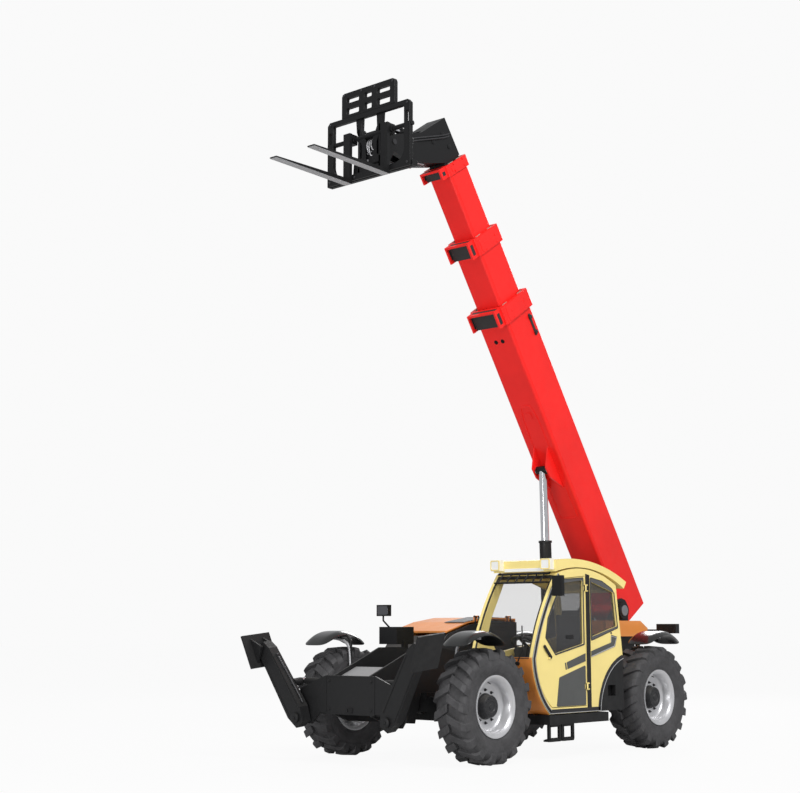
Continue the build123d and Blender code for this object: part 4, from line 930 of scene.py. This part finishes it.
# %% Door furniture and mirrors
bm = bmesh.new()
slab(bm, [at(x, LEAF[1] - 0.002, z) for x, z in rounded([(-0.855, 1.222), (-0.983, 1.089), (-0.962, 1.062),
                                                         (-0.834, 1.196)], 0.012)], (0, 0.016, 0))
piece("door_latch", bm, plastic_black, "door", bevel=0.004)
bm = bmesh.new()
side_slab(bm, box_outline((-1.280, -1.417), (1.275, 1.322), 0.022), CAB_OUT - 0.024, CAB_OUT - 0.010)
piece("window_catch", bm, plastic_black, "door", bevel=0.003)
bm = bmesh.new()
for z in (0.760, 1.840):
    brick(bm, (-1.668, -1.592), (CAB_OUT + 0.006, CAB_OUT + 0.013), (z - 0.032, z + 0.032))
piece("hinge_covers", bm, plastic_black, "chassis", bevel=0.003)
bm = bmesh.new()
front_slab(bm, box_outline((-0.676, -0.524), (1.544, 1.641), 0.02), -0.188, -0.184)
brick(bm, (-0.990, -0.984), (CAB_OUT + 0.075, CAB_OUT + 0.178), (1.752, 1.948))
piece("mirror_faces", bm, mirror_glass, "chassis", bevel=0.001)

# %% [markdown]
# The seat is soft, so its cushions are blown up by a short cloth simulation and then smoothed. Its base is hard, and
# stays plain, because it is seen through smoked glass.

# %% Seat
SIM_FRAMES = 20
BULGE = 0.014


def padded_block(name, low, high, material):
    """A cushion: a block whose sides swell under pressure, with no point moving further than a set bulge."""
    bm = bmesh.new()
    brick(bm, (low[0], high[0]), (low[1], high[1]), (low[2], high[2]))
    mesh = bpy.data.meshes.new(name)
    bm.to_mesh(mesh)
    bm.free()
    obj = bpy.data.objects.new(name, mesh)
    bpy.context.collection.objects.link(obj)
    remesh = obj.modifiers.new("even", "REMESH")
    remesh.mode = "VOXEL"
    remesh.voxel_size = 0.012
    apply_all(obj)
    rest = [vertex.co.copy() for vertex in obj.data.vertices]
    cloth = obj.modifiers.new("air", "CLOTH")
    cloth.settings.use_pressure = True
    cloth.settings.uniform_pressure_force = 4.0
    cloth.settings.effector_weights.gravity = 0
    cloth.point_cache.frame_start = 1
    cloth.point_cache.frame_end = SIM_FRAMES
    for frame_number in range(1, SIM_FRAMES + 1):
        bpy.context.scene.frame_set(frame_number)
    apply_all(obj)
    bpy.context.scene.frame_set(1)
    for vertex, was in zip(obj.data.vertices, rest):
        step = vertex.co - was
        if step.length > BULGE:
            vertex.co = was + step.normalized() * BULGE
    smooth = obj.modifiers.new("smooth", "SUBSURF")
    smooth.levels = smooth.render_levels = 1
    soften = obj.modifiers.new("soften", "SMOOTH")
    soften.iterations = 6
    obj.data.shade_smooth()
    finished(obj, material, "chassis")
    return obj


def apply_all(obj):
    """Bakes an object's modifiers into its mesh."""
    shape = bpy.data.meshes.new_from_object(obj.evaluated_get(bpy.context.evaluated_depsgraph_get()))
    obj.modifiers.clear()
    obj.data = shape


cushion = padded_block("seat_cushion", (-1.925, 0.500, 0.915), (-1.470, 0.930, 0.995), seat_black)
backrest = padded_block("seat_back", (-1.985, 0.520, 1.020), (-1.905, 0.910, 1.560), seat_black)
bm = bmesh.new()
side_slab(bm, rounded([(-1.790, 0.560), (-1.520, 0.560), (-1.560, 0.905), (-1.800, 0.905)], 0.03), 0.540, 0.880)
side_slab(bm, rounded([(-2.030, 0.980), (-1.990, 0.980), (-2.020, 1.600), (-2.050, 1.600)], 0.01), 0.540, 0.890)
seat_frame = piece("seat_base", bm, plastic_black, "chassis", bevel=0.006)
for part in (cushion, backrest, seat_frame):
    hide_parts("seat")

# %% [markdown]
# Two levers with round knobs stand on the console beside the seat.

# %% Levers
bm = bmesh.new()
for y in (0.395, 0.430):
    rod(bm, at(-1.360, y, 1.010), at(-1.330, y, 1.120), 0.007, 12)
    turn(bm, [(0, 0.007), (0.01, 0.016), (0.035, 0.019), (0.055, 0.012), (0.06, 0)], at(-1.330, y, 1.110),
         (0.2, 0, 1), 16)
piece("levers", bm, plastic_black, "chassis")

# %% [markdown]
# The boom's sections are plain red boxes, so their life is in small things: a welded seam along each lower corner,
# wear pads and screws at every collar, and the band where the lift cylinder pushes. All of them are placed in the
# boom's own frame, along it and above it.

# %% The boom's frame
BOOM_TILT = radians(56.54)
BOOM_START = (-3.888, 1.800)
UP_BOOM = Vector((cos(BOOM_TILT), 0, sin(BOOM_TILT)))
OFF_BOOM = Vector((-sin(BOOM_TILT), 0, cos(BOOM_TILT)))


def on_boom(along, y, above):
    return at(BOOM_START[0], y, BOOM_START[1]) + UP_BOOM * along + OFF_BOOM * above


def boom_brick(bm, along, y, above):
    boom_plate(bm, box_outline(along, above), *y)


def boom_plate(bm, outline, y0, y1):
    """An (along, above) outline made as wide as two side limits."""
    slab(bm, [on_boom(along, y0, above) for along, above in outline], (0, y1 - y0, 0))


def boom_floor(bm, outline, above0, above1):
    """An (along, y) outline made as thick as two heights over the boom's axis."""
    slab(bm, [on_boom(along, y, above0) for along, y in outline], OFF_BOOM * (above1 - above0))


# name, body, width, height, first and last visible place, collar start
BOOM_SECTIONS = [("outer", "boom_base", 0.440, 0.535, -0.25, 4.19, 3.97),
                 ("second", "boom_middle", 0.372, 0.457, 4.25, 5.06, 4.85),
                 ("third", "boom_inner", 0.322, 0.368, 5.12, 5.97, 5.84)]

for name, body, width, height, first, last, collar in BOOM_SECTIONS:
    bm = bmesh.new()
    for hand in (1, -1):
        y = hand * width / 2
        above = -height / 2 + 0.036
        rod(bm, on_boom(first, y, above), on_boom(collar, y, above), 0.0035, 8)
    piece(f"boom_weld_{name}", bm, boom_paint, body)
    bm = bmesh.new()
    for hand in (1, -1):
        y = hand * (width / 2 + 0.030)
        for above in (-0.13, 0.13):
            for step in (0.03, 0.11):
                bolt(bm, on_boom(collar + step, y, above * height / 0.5), (0, hand, 0), 0.011, 0.009)
    for y in (-0.09, 0.09):
        for step in (0.03, 0.11):
            bolt(bm, on_boom(collar + step, y, height / 2 + 0.030), OFF_BOOM, 0.011, 0.009)
    piece(f"boom_pad_bolts_{name}", bm, boom_paint, body)
    bm = bmesh.new()
    ends = (last - 0.02, last + 0.001 + 0.004)
    for hand in (1, -1):
        y = mirrored(hand, width / 2 - 0.011, width / 2 - 0.0195)
        boom_brick(bm, ends, y, (-height / 2 + 0.05, -height / 2 + 0.15))
        boom_brick(bm, ends, y, (height / 2 - 0.15, height / 2 - 0.05))
    piece(f"boom_wear_pads_{name}", bm, pad_nylon, body, bevel=0.002)

# %% [markdown]
# The brackets under each collar are open, and a dark cell behind the opening is painted shade that gives it depth. A
# thin plate with round corners lies on each flank of the collar.

# %% Painted-shade cells of the collar brackets
for name, body, width, height, first, last, collar in BOOM_SECTIONS:
    wide = {"outer": 0.060, "second": 0.056, "third": 0.050}[name]
    low = -height / 2 - wide / 2
    # Dark boxes behind each bracket's opening: painted shade in place of real depth.
    bm = bmesh.new()
    for hand in (1, -1):
        y = mirrored(hand, width / 2 - 0.013, width / 2 - 0.031)
        boom_brick(bm, (collar + 0.030, last - 0.040), y, (low - 0.093, low - 0.025))
    boom_brick(bm, (collar + 0.010, last - 0.004), (-width / 2 + 0.036, width / 2 - 0.036),
               (low - 0.066, low - 0.001))
    piece(f"boom_shade_cells_{name}", bm, boom_dark_steel_and_shade, body, bevel=0.002)
    bm = bmesh.new()
    for hand in (1, -1):
        y = hand * (width / 2 + wide / 2)
        skin = sorted((y, y + hand * 0.004))
        boom_plate(bm, box_outline((collar + 0.008, last - 0.008), (-height / 2 + 0.03, height / 2 - 0.03), 0.05),
                   *skin)
    piece(f"boom_collar_plates_{name}", bm, boom_paint, body, bevel=0.0015)

# %% [markdown]
# Under the outer section, a raised band with a round end marks where the lift cylinder pushes, and two dark ports sit
# ahead of it. A bracket with two clamps sits on the left flank, just below the collar.

# %% Plates of the outer section
LOW = -0.2675
bm = bmesh.new()
tongue = rounded([(1.30, -0.150), (2.72, -0.120), (2.90, -0.085), (2.90, 0.085), (2.72, 0.120), (1.30, 0.150)], 0.07)
band(bm, tongue, 0.026, lambda along, y: on_boom(along, y, LOW - 0.007), OFF_BOOM * 0.008)
piece("boom_eye_plate", bm, boom_paint, "boom_base", bevel=0.003)
bm = bmesh.new()
boom_floor(bm, box_outline((2.70, 2.80), (-0.05, 0.05), 0.045), LOW - 0.010, LOW - 0.004)
piece("boom_eye_boss", bm, boom_paint, "boom_base", bevel=0.002)
bm = bmesh.new()
for y in (-0.05, 0.05):
    turn(bm, [(-0.002, 0), (-0.002, 0.026), (0.003, 0.026), (0.003, 0.020), (0.0, 0.020), (0.0, 0)],
         on_boom(3.76, y, LOW), -OFF_BOOM, 24)
piece("boom_port_rims", bm, port_black, "boom_base")
bm = bmesh.new()
boom_plate(bm, box_outline((3.62, 3.90), (0.150, 0.185), 0.012), 0.220, 0.232)
for along in (3.66, 3.86):
    turn(bm, [(0, 0), (0, 0.026), (0.018, 0.026), (0.018, 0)], on_boom(along, 0.230, 0.168), (0, 1, 0), 20)
piece("boom_hose_bracket", bm, boom_dark_steel_and_shade, "boom_base", bevel=0.002)

# %% [markdown]
# Two hoses run along the left flank of the neck, round bosses mark its pins, and a bright rod lies along each side of
# the tilt cylinder.

# %% Hoses, bosses and rods of the neck
for number, rise in enumerate((0.0, 0.030)):
    hose(f"neck_hose_{number}", [at(-0.52, 0.132, 7.06 + rise), at(-0.46, 0.150, 7.02 + rise),
                                 at(-0.20, 0.150, 6.94 + rise), at(0.02, 0.150, 6.87 + rise),
                                 at(0.12, 0.132, 6.84 + rise)], 0.010, hose_rubber, "boom_tip")
bm = bmesh.new()
for y in (-0.138, 0.138):
    hand = 1 if y > 0 else -1
    for x, z in ((-0.52, 6.93), (-0.40, 7.05), (-0.24, 6.92)):
        turn(bm, [(0, 0), (0, 0.030), (0.006, 0.030), (0.008, 0.024), (0.008, 0)], at(x, y - hand * 0.003, z),
             (0, hand, 0), 24)
piece("head_bosses", bm, carriage_paint, "boom_tip")
bm = bmesh.new()
for y in (-0.100, 0.100):
    rod(bm, at(-0.110, y, 6.626), at(0.225, y, 6.597), 0.009)
piece("neck_rods", bm, hose_silver, "boom_tip")

# %% [markdown]
# The lift cylinder's sleeve ends in a gland, and a wide boss surrounds the pin at the rod's eye.

# %% Lift cylinder: gland and eye
LIFT_BASE = at(-2.500, 0, 0.500)
LIFT_EYE = at(-2.420, 0, 3.310)
LIFT_UP = (LIFT_EYE - LIFT_BASE).normalized()


def round_cylinder(bm, profile, start):
    turn(bm, profile, LIFT_BASE + LIFT_UP * start, LIFT_UP, 40, closed=True)


bm = bmesh.new()
round_cylinder(bm, [(0, 0.0725), (0, 0.0815), (0.022, 0.0815), (0.026, 0.078), (0.026, 0.0525), (0.0245, 0.0525),
                    (0.0245, 0.0725)], 1.9250)
piece("lift_sleeve_gland", bm, chassis_paint, "lift_cylinder_sleeve", angle=50)
bm = bmesh.new()
turn(bm, [(-0.084, 0), (-0.084, 0.048), (-0.080, 0.0515), (0.080, 0.0515), (0.084, 0.048), (0.084, 0)], LIFT_EYE,
     (0, 1, 0), 40)
piece("lift_rod_eye", bm, carriage_paint, "lift_cylinder_rod", angle=50)

# %% [markdown]
# The carriage is a black welded frame: a wide lower frame with slotted posts, a windowed upper one, two bent braces
# and the cheeks that hold it to the boom. The forks' undersides are worn bright.

# %% Carriage
HALF_FRAME = 0.628
FRAME_X = 0.660
FRAME_DEPTH = (0.052, 0, 0)


def low_round(y, z, radius):
    """A box outline whose two lower corners are wide arcs."""
    arcs = []
    for centre, first in ((y[0] + radius, pi), (y[1] - radius, 1.5 * pi)):
        for step in range(9):
            angle = first + step * pi / 16
            arcs.append((centre + radius * cos(angle), z[0] + radius + radius * sin(angle)))
    return arcs + [(y[1], z[1]), (y[0], z[1])]


bm = bmesh.new()
frame_outline = [(-HALF_FRAME, 6.320), (HALF_FRAME, 6.320), (HALF_FRAME, 7.030), (HALF_FRAME - 0.034, 7.067),
                 (0.034 - HALF_FRAME, 7.067), (-HALF_FRAME, 7.030)]
slots_cut = [box_outline(mirrored(hand, 0.560, 0.608), (6.810, 6.940), 0.012) for hand in (1, -1)]
pierced(bm, frame_outline, [low_round((-0.540, 0.540), (6.387, 7.010), 0.150), *slots_cut], on_front(FRAME_X),
        FRAME_DEPTH)
windows = [box_outline(y, z, 0.012) for y in ((-0.332, -0.140), (-0.055, 0.055), (0.140, 0.332))
           for z in ((7.100, 7.174), (7.235, 7.294))]
pierced(bm, [(-0.405, 7.0675), (0.405, 7.0675), (0.405, 7.320), (0.393, 7.350), (0.365, 7.360), (-0.365, 7.360),
             (-0.393, 7.350), (-0.405, 7.320)], windows, on_front(FRAME_X), FRAME_DEPTH)
brick(bm, (0.610, 0.690), (-HALF_FRAME - 0.020, HALF_FRAME + 0.020), (6.320, 6.378))
for hand in (1, -1):
    brace = [(0.205, 7.060), (0.110, 7.060), (0.118, 6.880), (0.050, 6.740), (0.050, 6.330), (0.250, 6.330),
             (0.236, 6.500), (0.115, 6.560), (0.115, 6.700), (0.190, 6.860)]
    front_slab(bm, [(hand * y, z) for y, z in brace], 0.640, 0.690)
    cheek = [(0.410, 6.700), (0.440, 6.650), (0.640, 6.330), (0.690, 6.330), (0.690, 6.900), (0.600, 6.900),
             (0.410, 6.790)]
    side_slab(bm, cheek, *mirrored(hand, 0.142, 0.172))
brick(bm, (0.600, 0.690), (-0.172, 0.172), (6.440, 6.470))
brick(bm, (0.640, 0.661), (-0.060, 0.060), (6.478, 6.846))
rod(bm, at(0.675, -HALF_FRAME - 0.014, 6.795), at(0.675, HALF_FRAME + 0.014, 6.795), 0.026)
carriage_frame = piece("carriage_frame", bm, carriage_paint, "carriage", bevel=0.004)
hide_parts("fork_carriage")
bm = bmesh.new()
for hand in (1, -1):
    side_slab(bm, [(0.716, 6.276), (1.860, 6.314), (1.860, 6.318), (0.716, 6.280)],
              *mirrored(hand, 0.238, 0.332))
piece("fork_soles", bm, bracket_silver, "carriage")

# %% [markdown]
# Bolt heads, the coupler's short hoses and a collar each side of the forks' eyes are the carriage's small parts.

# %% Carriage details
bm = bmesh.new()
for y, z in ((-0.586, 6.36), (0.586, 6.36), (-0.586, 7.03), (0.586, 7.03), (-0.37, 7.33), (0.37, 7.33), (-0.10, 7.33),
             (0.10, 7.33), (-0.20, 6.35), (0.20, 6.35)):
    bolt(bm, at(0.712, y, z), (1, 0, 0), 0.012, 0.010)
piece("carriage_bolts", bm, dark_steel, "carriage")
bm = bmesh.new()
for y in (-0.045, 0.045):
    for z in (6.52, 6.60, 6.72, 6.80):
        bolt(bm, at(0.662, y, z), (1, 0, 0), 0.011, 0.009)
piece("coupler_bolts", bm, steel, "carriage")
for number, (y, low) in enumerate(((-0.03, 6.58), (0.0, 6.54), (0.03, 6.60))):
    hose(f"coupler_hose_{number}", [at(0.664, y, 6.74), at(0.700, y, 6.70), at(0.706, y + 0.02, low + 0.04),
                                    at(0.690, y + 0.03, low), at(0.666, y + 0.05, low + 0.03)], 0.007,
         hose_silver, "carriage")
bm = bmesh.new()
for y in (-0.285, 0.285):
    turn(bm, [(-0.066, 0.0265), (-0.066, 0.038), (-0.062, 0.040), (-0.062, 0.0265)], at(0.675, y, 6.795), (0, 1, 0),
         24, closed=True)
    turn(bm, [(0.062, 0.0265), (0.062, 0.040), (0.066, 0.038), (0.066, 0.0265)], at(0.675, y, 6.795), (0, 1, 0), 24,
         closed=True)
piece("shaft_collars", bm, carriage_paint, "carriage")

# %% [markdown]
# The stabilisers are box arms. Their plates have thick rims, a hose runs down the back of each, and the hinge pin
# shows as a round cap.

# %% Stabilisers
LEG_LEAN = radians(32)
LEG_TILT = radians(6)
LEG_PIVOT = at(1.035, 0.650, 0.470)


def on_leg(side, t, along, inwards):
    """A point of a stabiliser: t along its hinge, along the arm, and inwards across it."""
    across = along * sin(LEG_LEAN) - inwards * cos(LEG_LEAN)
    up = along * cos(LEG_LEAN) + inwards * sin(LEG_LEAN)
    x = t * cos(LEG_TILT) + up * sin(LEG_TILT)
    z = -t * sin(LEG_TILT) + up * cos(LEG_TILT)
    point = LEG_PIVOT + Vector((x, across, z))
    return Vector((point.x, point.y * HANDS[side], point.z))


for side in HANDS:
    normal = (on_leg(side, 1, 0, 0) - on_leg(side, 0, 0, 0)).normalized()
    bm = bmesh.new()
    for inner, outer in ((0.070, 0.082), (-0.082, -0.070)):
        points = [on_leg(side, 0.060, 0.06, inner * 1.10), on_leg(side, 0.060, 0.74, inner),
                  on_leg(side, 0.060, 0.74, outer), on_leg(side, 0.060, 0.06, outer * 1.10)]
        slab(bm, points, normal * 0.005)
    turn(bm, [(0, 0), (0, 0.052), (0.006, 0.052), (0.010, 0.046), (0.010, 0)], on_leg(side, 0.080, 0, 0), normal, 32)
    bolt(bm, on_leg(side, 0.088, 0, 0), normal, 0.014, 0.010)
    piece(f"stabiliser_rims_{side}", bm, chassis_paint, f"stabiliser_{side}", bevel=0.002)
    hose(f"stabiliser_hose_{side}", [on_leg(side, 0.0, 0.10, 0.128), on_leg(side, 0.0, 0.30, 0.128),
                                     on_leg(side, 0.0, 0.55, 0.112), on_leg(side, 0.0, 0.72, 0.098)], 0.009,
         hose_rubber, f"stabiliser_{side}")
    bm = bmesh.new()
    for along in (0.14, 0.34, 0.54, 0.70):
        near = on_leg(side, -0.016, along, 0.104)
        turn(bm, [(0, 0), (0, 0.016), (0.032, 0.016), (0.032, 0)], near, normal, 14)
    piece(f"stabiliser_clamps_{side}", bm, dark_steel, f"stabiliser_{side}")

# %% [markdown]
# The front plate has a raised edge with a bolt in each corner and a ringed towing eye. A grey cover slopes back from
# its top, and three hoses drop behind its left end.

# %% Front plate
PLATE_X = 0.950
bm = bmesh.new()
front_band(bm, box_outline((-0.353, 0.353), (0.510, 0.903)), 0.012, PLATE_X, 0.954)
for y, z in ((-0.30, 0.85), (0.30, 0.85), (-0.30, 0.56), (0.30, 0.56)):
    bolt(bm, at(PLATE_X, y, z), (1, 0, 0), 0.014, 0.010)
piece("front_plate_trim", bm, chassis_paint, "chassis", bevel=0.0015)
bm = bmesh.new()
front_band(bm, box_outline((-0.045, 0.045), (0.522, 0.585), 0.022), 0.014, PLATE_X, 0.958)
piece("tow_eye_rim", bm, carriage_paint, "chassis", bevel=0.002)
bm = bmesh.new()
side_slab(bm, [(0.900, 0.874), (0.604, 0.990), (0.601, 0.984), (0.897, 0.868)], -0.243, 0.243)
piece("front_cover", bm, cover_grey, "chassis", bevel=0.001)
for number, (y, drop) in enumerate(((0.300, 0.0), (0.335, 0.03), (0.370, 0.0))):
    hose(f"front_hose_{number}", [at(0.90, y, 0.72), at(0.91, y + 0.01, 0.83), at(0.88, y + 0.05, 0.80 - drop),
                                  at(0.86, y + 0.12, 0.76), at(0.84, y + 0.20, 0.80)], 0.010, hose_rubber, "chassis")

# %% [markdown]
# A glossy panel lies on the hood's crown, louvres air the engine bay on its inner side, red lenses close the rear
# lamps, and a bent strap carries each mudguard.

# %% Hood, engine bay, rear lamps and straps
bm = bmesh.new()
hood_top = [(-1.300, 1.4630), (-1.350, 1.4735), (-1.730, 1.5265), (-2.180, 1.5150), (-2.180, 1.5190),
            (-1.730, 1.5305), (-1.350, 1.4775), (-1.300, 1.4670)]
side_slab(bm, hood_top, -0.640, -0.336)
piece("hood_top_panel", bm, mudguard_black, "hood", bevel=0.001)
bm = bmesh.new()
for z in (1.36, 1.40, 1.44):
    side_slab(bm, box_outline((-2.05, -1.60), (z, z + 0.018)), -0.300, -0.294)
piece("bay_louvres", bm, carriage_paint, "chassis", bevel=0.002)
bm = bmesh.new()
for hand in (1, -1):
    brick(bm, (-3.948, -3.944), mirrored(hand, 0.655, 0.905), (1.345, 1.442))
piece("rear_lamp_lenses", bm, lens_red, "chassis", bevel=0.001)
STRAP = [(0.150, 0, 0.70), (0.154, 0, 1.10), (0.156, 0.010, 1.20), (0.158, 0.090, 1.262), (0.158, 0.200, 1.282),
         (0.158, 0.330, 1.292)]
for side, hand in HANDS.items():
    for end, tip, wheel_x in (("front", 1, 0.0), ("rear", -1, REAR_X - AXLE_X)):
        route = [at(wheel_x + tip * x, hand * 0.766 + hand * out, z) for x, out, z in STRAP]
        hose(f"mudguard_strap_{end}_{side}", route, 0.0175, bracket_silver, f"steer_{end}_{side}")
